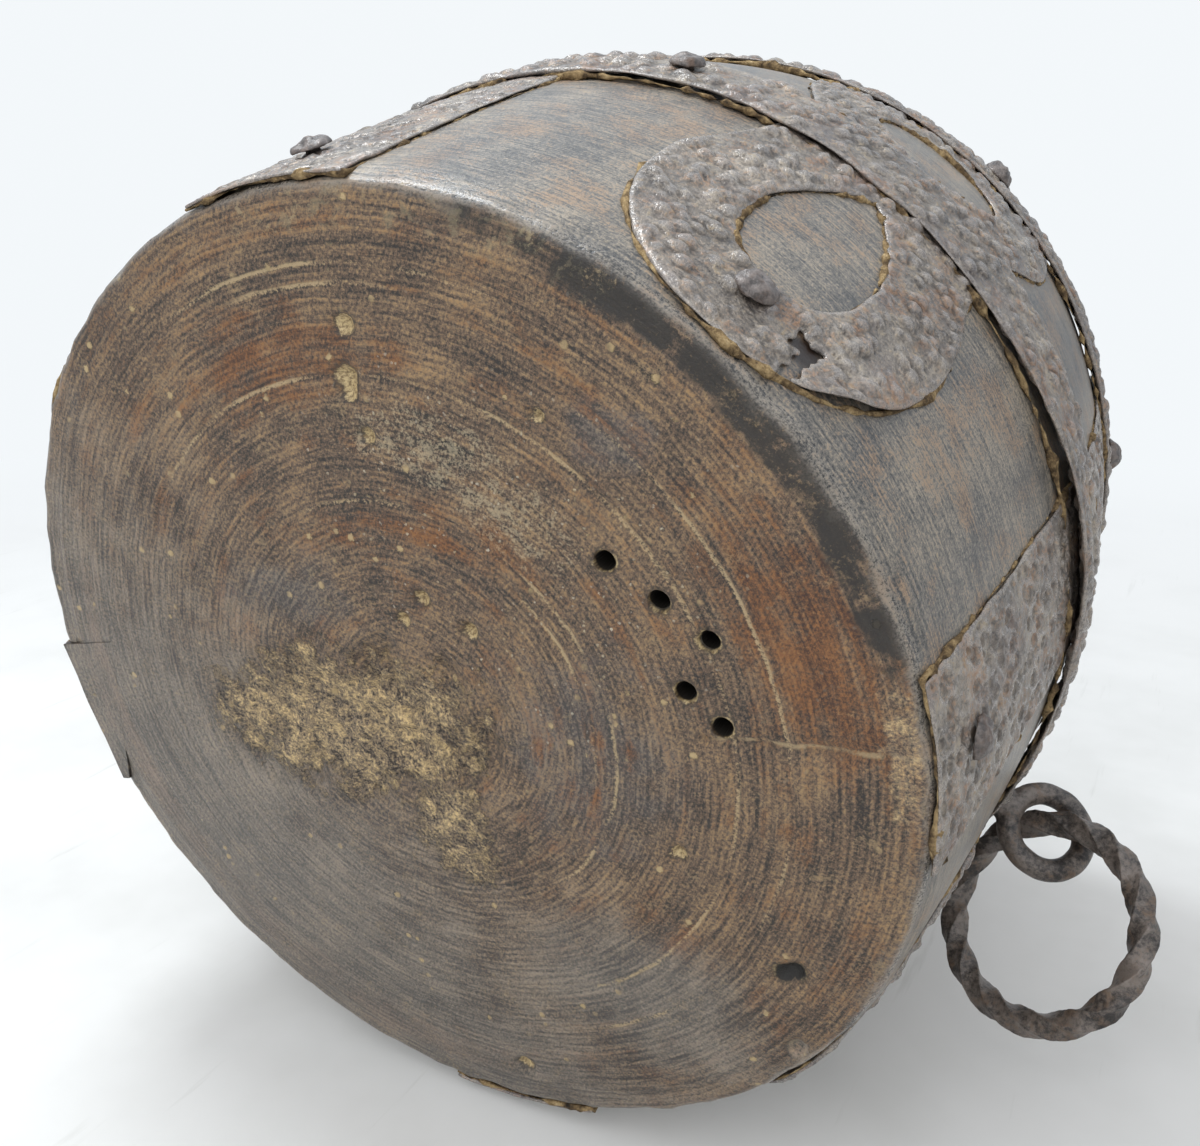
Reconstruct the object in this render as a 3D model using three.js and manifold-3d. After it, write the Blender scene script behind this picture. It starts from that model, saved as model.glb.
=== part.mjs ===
// A turned wooden grain measure, bound with nailed sheet iron and hung with a twisted iron ring.
// Millimetres. The lathe axis is +Z, and the flat end-grain base lies on z = 0.
import * as THREE from "three";
import { mergeVertices } from "three/addons/utils/BufferGeometryUtils.js";
import Module from "manifold-3d";

// Turned body: one billet, swelling from the base to the belly and drawn in again at the mouth.
const HEIGHT = 138;
const BASE_RADIUS = 80;
const BELLY_RADIUS = 87.8;
const BELLY_HEIGHT = 84;
const MOUTH_RADIUS = 81.5;
const LOWER_SWELL = 1.45;
const UPPER_SWELL = 2;
const BASE_ARRIS = 2.5;
const LIP_ROUND = 2.5;
const WALL = 10;
const FLOOR = 15;
const FLOOR_CORNER = 14;

// Sheet iron: straps and pierced lobes lie on the wood, and the hoops go over them.
const SHEET = 1.2;
const SEAT_GAP = 0.25;
const BAND_LOW = 62;
const BAND_WIDTH = 18;
const RIM_WIDTH = 19;
const RIM_INSET = 1;
const TUCK = 6;

// Four straps run from the base arris to the rim. The last has its toe turned under the base.
const STRAP_WIDTH = 29;
const STRAP_AZIMUTHS = [-104, -9, 78, 163];
const STRAP_FOOT = 1;
const TOE_LENGTH = 15;
const TOE_SHORT_LENGTH = 3;
const TOE_LIFT = 0.15;
const TOE_CLEAR = 0.3;

// Four pierced lobes hang below the belly band, and four stand above it.
const LOBE_AZIMUTHS = [-55.5, 36, 121, -150];
const LOBE_ROOT_WIDTH = 40;
const LOWER_LOBE_WIDTH = 50;
const LOWER_LOBE_FOOT = 2.2;
const LOWER_HOLE_WIDTH = 19;
const LOWER_HOLE_FOOT = 19.5;
const UPPER_LOBE_WIDTH = 55;
const UPPER_HOLE_WIDTH = 26;
const UPPER_HOLE_TOP = 108;
const HOLE_MARGIN = 4;

// Round-headed forged nails, square to the surface they hold.
const NAIL_HEAD = 6.8;
const NAIL_RISE = 2.6;
const NAIL_SHANK = 2.2;
const NAIL_POINT = 0.9;
const NAIL_GRIP = 7.5;
const NAIL_CLEAR = 0.25;
const FOOT_NAIL_HEIGHT = 14;
const LOBE_RIM_NAIL_AZIMUTHS = [-50.5, 36, 121, -150];
const BAND_NAIL_AZIMUTHS = [-82, 62, 188];

// Eye staple: a bar bent into a loop, its two legs driven through the wall and turned over inside.
const EYE_AZIMUTH = 25.3;
const EYE_HEIGHT = 72.5;
const EYE_STAND = 9.5;
const EYE_TWIST = 60;
const EYE_WIRE = 4.4;
const EYE_SHANK_WIDTH = 6.6;
const EYE_CLEAR = 0.3;
const EYE_LEG = 13;
const EYE_LEG_POINT = 5;
const EYE_LEG_THICKNESS = 2.6;
const EYE_LEG_LIFT = 1.2;

// Ring of twisted square bar, leaning in the eye.
const RING_RADIUS = 18.2;
const RING_BAR = 4.1;
const RING_CHAMFER = 0.35;
const RING_TWISTS = 4;
const RING_PLAY = 0.6;
const RING_LEAN = 39.7;
const RING_TURN = 158.4;
const RING_ROLL = -8;
const RING_SHIFT_OUT = -0.7;
const RING_SHIFT_SIDE = -1.6;

// Fineness of the facets.
const ROUND_STEPS = 48;
const WALL_STEP = 14;
const CORNER_STEPS = 3;
const OUTLINE_STEPS = 5;
const NAIL_SIDES = 8;
const LOOP_STEPS = 30;
const WIRE_SIDES = 8;
const RING_STEPS = 96;

const DEGREE = Math.PI / 180;
const UP = new THREE.Vector3(0, 0, 1);
const LAYER = SEAT_GAP + SHEET;
const BAND_HIGH = BAND_LOW + BAND_WIDTH;
const RIM_HIGH = HEIGHT - RIM_INSET;
const RIM_LOW = RIM_HIGH - RIM_WIDTH;
const RIM_NAIL_HEIGHT = RIM_LOW + RIM_WIDTH / 2;

const wasm = await Module();
wasm.setup();

// Outer radius of the turned wall at a height, without the rounding of its two edges.
function wallRadius(z) {
  if (z < BELLY_HEIGHT) {
    const below = 1 - z / BELLY_HEIGHT;
    return BELLY_RADIUS - (BELLY_RADIUS - BASE_RADIUS) * below ** LOWER_SWELL;
  }
  const above = (z - BELLY_HEIGHT) / (HEIGHT - BELLY_HEIGHT);
  return BELLY_RADIUS - (BELLY_RADIUS - MOUTH_RADIUS) * above ** UPPER_SWELL;
}

// The same with the base arris rounded over, which the straps follow.
function sideRadius(z) {
  if (z >= BASE_ARRIS) return wallRadius(z);
  const drop = BASE_ARRIS - z;
  return wallRadius(BASE_ARRIS) - BASE_ARRIS + Math.sqrt(BASE_ARRIS ** 2 - drop ** 2);
}

// Heights from low to high, close together on the arris and evenly spaced on the wall.
function wallHeights(low, high) {
  const heights = [];
  for (let i = 0; i < CORNER_STEPS; i++) {
    const z = BASE_ARRIS * (1 - Math.cos((i / CORNER_STEPS) * 90 * DEGREE));
    if (z > low + SEAT_GAP / 2) heights.push(z);
  }
  const start = Math.max(low, BASE_ARRIS);
  const count = Math.ceil((high - start) / WALL_STEP);
  for (let i = 0; i <= count; i++) heights.push(start + ((high - start) * i) / count);
  return low < BASE_ARRIS ? [low, ...heights] : heights;
}

// A closed geometry as a solid that can be joined and cut.
function solid(geometry) {
  const bare = geometry.clone();
  bare.deleteAttribute("normal");
  bare.deleteAttribute("uv");
  const merged = mergeVertices(bare, 1e-4);
  const vertProperties = new Float32Array(merged.attributes.position.array);
  const triVerts = new Uint32Array(merged.index.array);
  return new wasm.Manifold(new wasm.Mesh({ numProp: 3, vertProperties, triVerts }));
}

// A solid back as a geometry.
function geometryOf(body) {
  const { vertProperties, triVerts } = body.getMesh();
  const geometry = new THREE.BufferGeometry();
  geometry.setAttribute("position", new THREE.BufferAttribute(vertProperties, 3));
  geometry.setIndex(new THREE.BufferAttribute(triVerts, 1));
  geometry.computeVertexNormals();
  return geometry;
}

// A profile of [radius, height] pairs turned about the lathe axis.
function turned(profile) {
  const points = profile.map(([radius, z]) => new THREE.Vector2(radius, z));
  return new THREE.LatheGeometry(points, ROUND_STEPS).rotateX(Math.PI / 2);
}

// A hoop of sheet that follows the wall, its inner face standing proud of the wood.
function hoopSolid(low, high, proud) {
  const heights = wallHeights(low, high);
  const outer = heights.map((z) => [sideRadius(z) + proud + SHEET, z]);
  const inner = heights.map((z) => [sideRadius(z) + proud, z]).reverse();
  return solid(turned([...outer, ...inner, outer[0]]));
}

// Directions at an azimuth: outwards, and along the wall.
function outward(azimuth) {
  return new THREE.Vector3(Math.cos(azimuth * DEGREE), Math.sin(azimuth * DEGREE), 0);
}
function along(azimuth) {
  return UP.clone().cross(outward(azimuth));
}

// An outline drawn on the wall at an azimuth, as a prism that points outwards from the axis side.
function wallPrism(shape, azimuth) {
  const depth = BELLY_RADIUS;
  const prism = new THREE.ExtrudeGeometry(shape, {
    depth,
    bevelEnabled: false,
    curveSegments: OUTLINE_STEPS,
  });
  const out = outward(azimuth);
  const place = new THREE.Matrix4().makeBasis(along(azimuth), UP, out);
  place.setPosition(out.multiplyScalar(BASE_RADIUS / 2));
  return solid(prism.applyMatrix4(place));
}

// The place of a nail: its head's seat on the iron that many layers up, square to the surface.
function nailPlace(azimuth, z, layers) {
  const slope = wallRadius(z + 0.5) - wallRadius(z - 0.5);
  const out = outward(azimuth);
  const square = out.clone().addScaledVector(UP, -slope).normalize();
  const across = along(azimuth);
  const seat = out.multiplyScalar(wallRadius(z)).addScaledVector(UP, z);
  seat.addScaledVector(square, layers * LAYER + SEAT_GAP);
  const place = new THREE.Matrix4().makeBasis(across, square, across.clone().cross(square));
  return place.setPosition(seat);
}

// A nail's length in the wood and through the iron above it.
function nailLength(layers) {
  return NAIL_GRIP + layers * LAYER + SEAT_GAP;
}

// Domed head on a tapering shank, turned about Y with the head's seat at y = 0.
function nailGeometry(layers) {
  const head = NAIL_HEAD / 2;
  const points = [
    [0, -nailLength(layers)],
    [NAIL_POINT / 2, -nailLength(layers)],
    [NAIL_SHANK / 2, 0],
    [head, 0],
    [head * 0.92, NAIL_RISE * 0.42],
    [head * 0.62, NAIL_RISE * 0.82],
    [0, NAIL_RISE],
  ];
  return new THREE.LatheGeometry(
    points.map(([radius, y]) => new THREE.Vector2(radius, y)),
    NAIL_SIDES,
  );
}

// The hole that a nail passes through.
function nailHole(place, layers) {
  const radius = NAIL_SHANK / 2 + NAIL_CLEAR;
  const length = nailLength(layers) + NAIL_CLEAR;
  const hole = new THREE.CylinderGeometry(radius, radius, length + NAIL_RISE, NAIL_SIDES);
  return solid(hole.translate(0, (NAIL_RISE - length) / 2, 0).applyMatrix4(place));
}

// Every nail: its name, place and the number of iron layers that it holds.
const nails = [];
STRAP_AZIMUTHS.forEach((azimuth, i) => {
  nails.push({ name: `strap_foot_nail_${i + 1}`, azimuth, z: FOOT_NAIL_HEIGHT, layers: 1 });
  nails.push({ name: `strap_rim_nail_${i + 1}`, azimuth, z: RIM_NAIL_HEIGHT, layers: 2 });
});
LOBE_AZIMUTHS.forEach((azimuth, i) => {
  nails.push({ name: `lobe_foot_nail_${i + 1}`, azimuth, z: FOOT_NAIL_HEIGHT, layers: 1 });
});
LOBE_RIM_NAIL_AZIMUTHS.forEach((azimuth, i) => {
  nails.push({ name: `lobe_rim_nail_${i + 1}`, azimuth, z: RIM_NAIL_HEIGHT, layers: 2 });
});
BAND_NAIL_AZIMUTHS.forEach((azimuth, i) => {
  nails.push({ name: `band_nail_${i + 1}`, azimuth, z: BAND_LOW + BAND_WIDTH / 2, layers: 2 });
});
for (const nail of nails) {
  nail.place = nailPlace(nail.azimuth, nail.z, nail.layers);
  nail.hole = nailHole(nail.place, nail.layers);
}

// Eye frame: out of the wall, across the loop, and square to the loop's plane.
const eyeOut = outward(EYE_AZIMUTH);
const eyeAxis = along(EYE_AZIMUTH).multiplyScalar(Math.sin(EYE_TWIST * DEGREE));
eyeAxis.addScaledVector(UP, Math.cos(EYE_TWIST * DEGREE));
const eyeAcross = eyeAxis.clone().cross(eyeOut);
const eyeReach = wallRadius(EYE_HEIGHT) + 2 * LAYER + EYE_STAND;
const eyeCentre = eyeOut.clone().multiplyScalar(eyeReach).addScaledVector(UP, EYE_HEIGHT);
const barHalf = (RING_BAR - RING_CHAMFER) / Math.SQRT2 + RING_CHAMFER / 2;
const loopRadius = (barHalf + EYE_WIRE / 2 + RING_PLAY) / Math.cos(RING_LEAN * DEGREE);
const innerWall = wallRadius(EYE_HEIGHT) - WALL;
const legFace = innerWall - EYE_LEG_LIFT;

// A flat shape in the loop's cross plane, drawn out along the eye's shank between two radii.
function alongShank(shape, from, to) {
  const bar = new THREE.ExtrudeGeometry(shape, {
    depth: to - from,
    bevelEnabled: false,
    curveSegments: OUTLINE_STEPS,
  });
  const place = new THREE.Matrix4().makeBasis(eyeAcross, eyeAxis, eyeOut);
  place.setPosition(eyeOut.clone().multiplyScalar(from).addScaledVector(UP, EYE_HEIGHT));
  return solid(bar.applyMatrix4(place));
}

// Section of the two legs together: a bar with half-round edges.
function shankShape(clearance) {
  const half = EYE_WIRE / 2 + clearance;
  const straight = (EYE_SHANK_WIDTH - EYE_WIRE) / 2;
  const shape = new THREE.Shape();
  shape.absarc(straight, 0, half, -90 * DEGREE, 90 * DEGREE);
  shape.absarc(-straight, 0, half, 90 * DEGREE, 270 * DEGREE);
  return shape;
}

// A body with the eye's slot and the hole of every nail cut through it.
const eyeSlot = alongShank(shankShape(EYE_CLEAR), legFace, eyeReach);
function drilled(body) {
  return nails.reduce((rest, nail) => rest.subtract(nail.hole), body.subtract(eyeSlot));
}

// The turned body: hollowed, drilled for the nails and the eye, and let in for the last strap's toe.
function woodSolid() {
  const outer = wallHeights(0, HEIGHT - LIP_ROUND).map((z) => [sideRadius(z), z]);
  const lipOut = wallRadius(HEIGHT - LIP_ROUND) - LIP_ROUND;
  const lipIn = wallRadius(HEIGHT) - WALL + LIP_ROUND;
  const cavityCorner = wallRadius(FLOOR + FLOOR_CORNER) - WALL - FLOOR_CORNER;
  const lip = [];
  const corner = [];
  for (let i = 1; i <= CORNER_STEPS; i++) {
    const turn = (i / CORNER_STEPS) * 90 * DEGREE;
    lip.push([lipOut + LIP_ROUND * Math.cos(turn), HEIGHT - LIP_ROUND * (1 - Math.sin(turn))]);
    corner.push([
      cavityCorner + FLOOR_CORNER * Math.cos(turn),
      FLOOR + FLOOR_CORNER * (1 - Math.sin(turn)),
    ]);
  }
  const innerHeights = wallHeights(FLOOR + FLOOR_CORNER, HEIGHT - LIP_ROUND).reverse();
  const innerLip = lip.map((_, i) => {
    const turn = (i / CORNER_STEPS) * 90 * DEGREE;
    return [lipIn - LIP_ROUND * Math.sin(turn), HEIGHT - LIP_ROUND * (1 - Math.cos(turn))];
  });
  const inner = innerHeights.map((z) => [wallRadius(z) - WALL, z]);
  const profile = [[0, 0], ...outer, ...lip, ...innerLip, ...inner, ...corner, [0, FLOOR]];
  return drilled(solid(turned(profile))).subtract(toeSolid(TOE_CLEAR));
}

// The last strap's toe: a tongue under the base, cut askew, or its recess where a clearance is given.
function toeSolid(clearance) {
  const half = STRAP_WIDTH / 2 + clearance;
  const edge = sideRadius(STRAP_FOOT) + LAYER + clearance;
  const low = clearance ? -1 : TOE_LIFT;
  const high = TOE_LIFT + SHEET + clearance;
  const shape = new THREE.Shape();
  shape.moveTo(-half, edge + half);
  shape.lineTo(-half, BASE_RADIUS - TOE_SHORT_LENGTH - clearance);
  shape.lineTo(half, BASE_RADIUS - TOE_LENGTH - clearance);
  shape.lineTo(half, edge + half);
  shape.closePath();
  const toe = new THREE.ExtrudeGeometry(shape, { depth: high - low, bevelEnabled: false });
  const azimuth = STRAP_AZIMUTHS.at(-1);
  const place = new THREE.Matrix4();
  place.makeBasis(along(azimuth), outward(azimuth), UP.clone().negate()).setPosition(0, 0, high);
  const disc = turned([[0, low], [edge, low], [edge, high], [0, high]]);
  return solid(toe.applyMatrix4(place)).intersect(solid(disc));
}

// Outline of a strap on the wall.
function strapShape(half, low, high) {
  const shape = new THREE.Shape();
  shape.moveTo(-half, low);
  shape.lineTo(half, low);
  shape.lineTo(half, high);
  shape.lineTo(-half, high);
  shape.closePath();
  return shape;
}

// Outline of a pierced lobe, from its root under the belly band to its rounded tip.
function lobeShape(root, tip, half) {
  const span = tip - root;
  const rootHalf = LOBE_ROOT_WIDTH / 2;
  const widest = root + span * 0.48;
  const shape = new THREE.Shape();
  shape.moveTo(-rootHalf, root);
  shape.bezierCurveTo(-rootHalf, root + span * 0.2, -half, widest - span * 0.18, -half, widest);
  shape.bezierCurveTo(-half, widest + span * 0.34, -half * 0.5, tip, 0, tip);
  shape.bezierCurveTo(half * 0.5, tip, half, widest + span * 0.34, half, widest);
  shape.bezierCurveTo(half, widest - span * 0.18, rootHalf, root + span * 0.2, rootHalf, root);
  shape.closePath();
  return shape;
}

// The lobe's opening, pointed towards the belly band and round at the other end.
function teardrop(point, round, half) {
  const span = round - point;
  const widest = point + span * 0.6;
  const path = new THREE.Path();
  path.moveTo(0, point);
  path.bezierCurveTo(half * 0.5, point + span * 0.1, half, widest - span * 0.2, half, widest);
  path.bezierCurveTo(half, round - span * 0.1, half * 0.6, round, 0, round);
  path.bezierCurveTo(-half * 0.6, round, -half, round - span * 0.1, -half, widest);
  path.bezierCurveTo(-half, widest - span * 0.2, -half * 0.5, point + span * 0.1, 0, point);
  return path;
}

// One skin of sheet over the whole wall, from which the straps and lobes are cut.
const skin = hoopSolid(STRAP_FOOT, RIM_HIGH, SEAT_GAP);

function strapSolid(index) {
  const shape = strapShape(STRAP_WIDTH / 2, 0, RIM_HIGH - SHEET);
  const strap = skin.intersect(wallPrism(shape, STRAP_AZIMUTHS[index]));
  const whole = index === STRAP_AZIMUTHS.length - 1 ? strap.add(toeSolid(0)) : strap;
  return drilled(whole);
}

function lowerLobeSolid(azimuth) {
  const shape = lobeShape(BAND_LOW + TUCK, LOWER_LOBE_FOOT, LOWER_LOBE_WIDTH / 2);
  shape.holes.push(teardrop(BAND_LOW - HOLE_MARGIN, LOWER_HOLE_FOOT, LOWER_HOLE_WIDTH / 2));
  return drilled(skin.intersect(wallPrism(shape, azimuth)));
}

function upperLobeSolid(azimuth) {
  const tip = RIM_NAIL_HEIGHT + TUCK;
  const shape = lobeShape(BAND_HIGH - TUCK, tip, UPPER_LOBE_WIDTH / 2);
  shape.holes.push(teardrop(BAND_HIGH + HOLE_MARGIN, UPPER_HOLE_TOP, UPPER_HOLE_WIDTH / 2));
  return drilled(skin.intersect(wallPrism(shape, azimuth)));
}

// The two hoops lie over the straps and lobes. The eye's shank passes through the belly band.
function bellyBandSolid() {
  return drilled(hoopSolid(BAND_LOW, BAND_HIGH, LAYER + SEAT_GAP));
}
function rimHoopSolid() {
  return drilled(hoopSolid(RIM_LOW, RIM_HIGH, LAYER + SEAT_GAP));
}

// Loop, shank and the two legs turned over on the inner wall, as one forged piece.
function eyeSolid() {
  const loop = new THREE.TorusGeometry(loopRadius, EYE_WIRE / 2, WIRE_SIDES, LOOP_STEPS);
  const place = new THREE.Matrix4().makeBasis(eyeOut, eyeAcross, eyeAxis).setPosition(eyeCentre);
  const half = EYE_WIRE / 2;
  const legs = new THREE.Shape();
  legs.moveTo(-EYE_LEG, 0);
  legs.lineTo(-EYE_LEG + EYE_LEG_POINT, -half);
  legs.lineTo(EYE_LEG - EYE_LEG_POINT, -half);
  legs.lineTo(EYE_LEG, 0);
  legs.lineTo(EYE_LEG - EYE_LEG_POINT, half);
  legs.lineTo(-EYE_LEG + EYE_LEG_POINT, half);
  legs.closePath();
  return solid(loop.applyMatrix4(place))
    .add(alongShank(shankShape(0), legFace - EYE_LEG_THICKNESS / 2, eyeReach - loopRadius))
    .add(alongShank(legs, legFace - EYE_LEG_THICKNESS, legFace));
}

// A square bar with chamfered corners, twisted as it goes round, in the XY plane about Z.
function ringGeometry() {
  const half = RING_BAR / 2;
  const flat = half - RING_CHAMFER;
  const section = [];
  for (let side = 0; side < 4; side++) {
    const turn = side * 90 * DEGREE;
    section.push(new THREE.Vector2(half, -flat).rotateAround(new THREE.Vector2(), turn));
    section.push(new THREE.Vector2(half, flat).rotateAround(new THREE.Vector2(), turn));
  }
  const positions = [];
  const faces = [];
  for (let step = 0; step < RING_STEPS; step++) {
    const round = (step / RING_STEPS) * 360 * DEGREE;
    for (const corner of section) {
      const turned = corner.clone().rotateAround(new THREE.Vector2(), RING_TWISTS * round);
      const radius = RING_RADIUS + turned.x;
      positions.push(radius * Math.cos(round), radius * Math.sin(round), turned.y);
    }
    for (let k = 0; k < section.length; k++) {
      const here = step * section.length;
      const next = ((step + 1) % RING_STEPS) * section.length;
      const beside = (k + 1) % section.length;
      faces.push(here + k, next + k, next + beside);
      faces.push(here + k, next + beside, here + beside);
    }
  }
  const geometry = new THREE.BufferGeometry();
  geometry.setAttribute("position", new THREE.Float32BufferAttribute(positions, 3));
  geometry.setIndex(faces);
  geometry.computeVertexNormals();
  return geometry;
}

// Where the ring's bar runs through the eye, and the way from there to the ring's middle.
function placeRing(mesh) {
  const lean = RING_LEAN * DEGREE;
  const turn = RING_TURN * DEGREE;
  const roll = RING_ROLL * DEGREE;
  const run = eyeAxis.clone().multiplyScalar(Math.cos(lean));
  run.addScaledVector(eyeOut, Math.sin(lean) * Math.cos(turn));
  run.addScaledVector(eyeAcross, Math.sin(lean) * Math.sin(turn));
  const side = run.clone().cross(eyeAxis).normalize();
  const inward = side.clone().multiplyScalar(Math.cos(roll));
  inward.addScaledVector(run.clone().cross(side), Math.sin(roll));
  const outwards = inward.clone().negate();
  const frame = new THREE.Matrix4().makeBasis(outwards, run, outwards.clone().cross(run));
  mesh.quaternion.setFromRotationMatrix(frame);
  mesh.position.copy(eyeCentre);
  mesh.position.addScaledVector(eyeOut, RING_SHIFT_OUT);
  mesh.position.addScaledVector(eyeAcross, RING_SHIFT_SIDE);
  mesh.position.addScaledVector(inward, RING_RADIUS);
}

const measure = new THREE.Group();

function addPiece(name, geometry, color, roughness, metalness) {
  const material = new THREE.MeshStandardMaterial({ color, roughness, metalness });
  const mesh = new THREE.Mesh(geometry, material);
  mesh.name = name;
  measure.add(mesh);
  return mesh;
}
function addIron(name, geometry) {
  return addPiece(name, geometry, 0x4a4440, 0.6, 0.7);
}

addPiece("wood_body", geometryOf(woodSolid()), 0x4a3020, 0.6, 0);
STRAP_AZIMUTHS.forEach((_, i) => addIron(`strap_${i + 1}`, geometryOf(strapSolid(i))));
LOBE_AZIMUTHS.forEach((azimuth, i) => {
  addIron(`lower_lobe_${i + 1}`, geometryOf(lowerLobeSolid(azimuth)));
  addIron(`upper_lobe_${i + 1}`, geometryOf(upperLobeSolid(azimuth)));
});
addIron("belly_band", geometryOf(bellyBandSolid()));
addIron("rim_hoop", geometryOf(rimHoopSolid()));
for (const nail of nails) {
  const mesh = addIron(nail.name, nailGeometry(nail.layers));
  mesh.applyMatrix4(nail.place);
}
addIron("eye_staple", geometryOf(eyeSolid()));
placeRing(addPiece("ring", ringGeometry(), 0x2a211c, 0.65, 0.6));

export default measure;
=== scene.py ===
# A turned wooden grain measure, bound with hammered iron and hung with a twisted ring.
# The part stands upright in its own frame; the view is taken as if it lay on its side.
import math

import bpy
from mathutils import Matrix, Vector, noise


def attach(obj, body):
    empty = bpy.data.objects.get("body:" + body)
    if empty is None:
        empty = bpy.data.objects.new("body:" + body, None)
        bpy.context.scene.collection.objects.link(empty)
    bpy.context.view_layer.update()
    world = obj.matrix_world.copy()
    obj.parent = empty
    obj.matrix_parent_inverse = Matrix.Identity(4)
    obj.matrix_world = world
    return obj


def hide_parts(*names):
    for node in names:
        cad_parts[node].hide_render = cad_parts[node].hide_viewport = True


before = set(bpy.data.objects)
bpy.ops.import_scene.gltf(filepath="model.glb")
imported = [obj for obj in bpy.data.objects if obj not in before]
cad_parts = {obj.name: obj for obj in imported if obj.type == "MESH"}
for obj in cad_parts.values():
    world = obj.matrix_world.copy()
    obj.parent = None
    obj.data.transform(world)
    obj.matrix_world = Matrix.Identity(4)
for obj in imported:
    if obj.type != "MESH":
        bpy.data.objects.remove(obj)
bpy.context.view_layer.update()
scene = bpy.context.scene
scene.view_settings.view_transform = "Standard"
mm = 0.001


# A place and three directions, as the matrix that sets a thing there.
def placed(at, x_axis, y_axis, z_axis):
    return Matrix.Translation(at) @ Matrix((x_axis, y_axis, z_axis)).transposed().to_4x4()


# Viewpoint: close to the base and a little to one side of it, level with the measure as it lies.
# The lens has a field as wide as its distance, with no shift and no depth of field.
view_right = Vector((0.890106, 0.0, 0.455753))
view_down = Vector((0.207863, 0.889936, -0.405965))
view_forward = Vector((-0.405591, 0.456086, 0.792137))
view_point = Vector((97.031, -104.445, -125.864)) * mm
camera = bpy.data.objects.new("camera", bpy.data.cameras.new("camera"))
camera.data.sensor_width = 36.0
camera.data.lens = 36.0
camera.data.clip_start = 0.005
camera.matrix_world = placed(view_point, view_right, -view_down, -view_forward)
scene.collection.objects.link(camera)
scene.camera = camera


# Shader maths: a socket that can be added, multiplied and masked like a number.
# Sums become Math nodes, and every other node comes from the one method node().
class Wire:
    def __init__(self, tree, socket):
        self.tree = tree
        self.socket = socket

    def node(self, kind, settings=None, inputs=None, output=0):
        made = self.tree.nodes.new("ShaderNode" + kind)
        for name, value in (settings or {}).items():
            if name == "stops":
                ramp = made.color_ramp.elements
                while len(ramp) < len(value):
                    ramp.new(0.5)
                for element, (position, color) in zip(ramp, value):
                    element.position = position
                    element.color = (*color, 1.0)
            else:
                setattr(made, name, value)
        for name, value in (inputs or {}).items():
            if isinstance(value, Wire):
                self.tree.links.new(value.socket, made.inputs[name])
            elif isinstance(value, tuple) and len(made.inputs[name].default_value) == 4:
                made.inputs[name].default_value = (*value, 1.0)
            else:
                made.inputs[name].default_value = value
        return Wire(self.tree, made.outputs[output])

    def math(self, operation, first, second=0.0):
        return self.node("Math", {"operation": operation}, {0: first, 1: second})

    def __add__(self, other):
        return self.math("ADD", self, other)

    __radd__ = __add__

    def __sub__(self, other):
        return self.math("SUBTRACT", self, other)

    def __rsub__(self, other):
        return self.math("SUBTRACT", other, self)

    def __mul__(self, other):
        return self.math("MULTIPLY", self, other)

    __rmul__ = __mul__

    def __truediv__(self, other):
        return self.math("DIVIDE", self, other)

    def __rtruediv__(self, other):
        return self.math("DIVIDE", other, self)

    def __abs__(self):
        return self.math("ABSOLUTE", self)

    # The largest of this and others.
    def most(self, *others):
        largest = self
        for other in others:
            largest = self.math("MAXIMUM", largest, other)
        return largest

    # This, but no more than 1.
    def capped(self):
        return self.math("MINIMUM", self, 1.0)

    # A value between 0 and 1, turned into a sway of so much about zero.
    def sway(self, reach):
        return (self - 0.5) * reach

    # A soft step from 0 at low to 1 at high, or the other way round where low is the larger.
    def rise(self, low, high):
        return self.node(
            "MapRange",
            {"interpolation_type": "SMOOTHSTEP"},
            {"Value": self, "From Min": low, "From Max": high, "To Min": 0.0, "To Max": 1.0},
        )

    # One colour where this mask is 0 and the other where it is 1.
    def blend(self, low, high):
        return self.node("Mix", {"data_type": "RGBA"}, {0: self, 6: low, 7: high}, 2)

    # Colours at stops along this value, blended in between.
    def ramp(self, *stops):
        return self.node("ValToRGB", {"stops": stops}, {0: self})

    # One axis of a vector: 0 for X, 1 for Y, 2 for Z.
    def axis(self, number):
        return self.node("SeparateXYZ", None, {0: self}, number)

    # The length of a vector, and its distance from a point.
    def length(self):
        return self.node("VectorMath", {"operation": "LENGTH"}, {0: self}, 1)

    def away_from(self, point):
        return self.node("VectorMath", {"operation": "DISTANCE"}, {0: self, 1: point}, 1)

    # The vector stretched along its axes, and turned about Z.
    def stretch(self, x, y, z):
        return self.node("VectorMath", {"operation": "MULTIPLY"}, {0: self, 1: (x, y, z)})

    def turned(self, angle):
        return self.node("VectorRotate", {"rotation_type": "Z_AXIS"}, {"Vector": self, "Angle": angle})

    # Smooth noise on a vector, with features of about the given size in millimetres.
    def noise(self, size, detail=2.0, roughness=0.6, seed=0.0):
        offset = (seed * 31.0, seed * 17.0, seed * 23.0)
        moved = self.node("VectorMath", {"operation": "ADD"}, {0: self, 1: offset})
        return self.node(
            "TexNoise",
            None,
            {"Vector": moved, "Scale": 1.0 / size, "Detail": detail, "Roughness": roughness},
        )

    # Distance to the nearest of scattered points, whose spacing is about the given size.
    def cells(self, size):
        return self.node("TexVoronoi", {"feature": "F1"}, {"Vector": self, "Scale": 1.0 / size})


# A new material: returns it, the piece's own place in millimetres, and the surface shader.
def new_finish(name):
    material = bpy.data.materials.new(name)
    material.use_nodes = True
    tree = material.node_tree
    surface = tree.nodes["Principled BSDF"]
    start = Wire(tree, surface.outputs[0])
    place = start.node("TexCoord", output=3)
    return material, place.stretch(1000.0, 1000.0, 1000.0), surface


# Feeds a surface shader's socket from a wire, or sets it to a plain value.
def feed(surface, name, value):
    if isinstance(value, Wire):
        value.tree.links.new(value.socket, surface.inputs[name])
    else:
        surface.inputs[name].default_value = value


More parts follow.
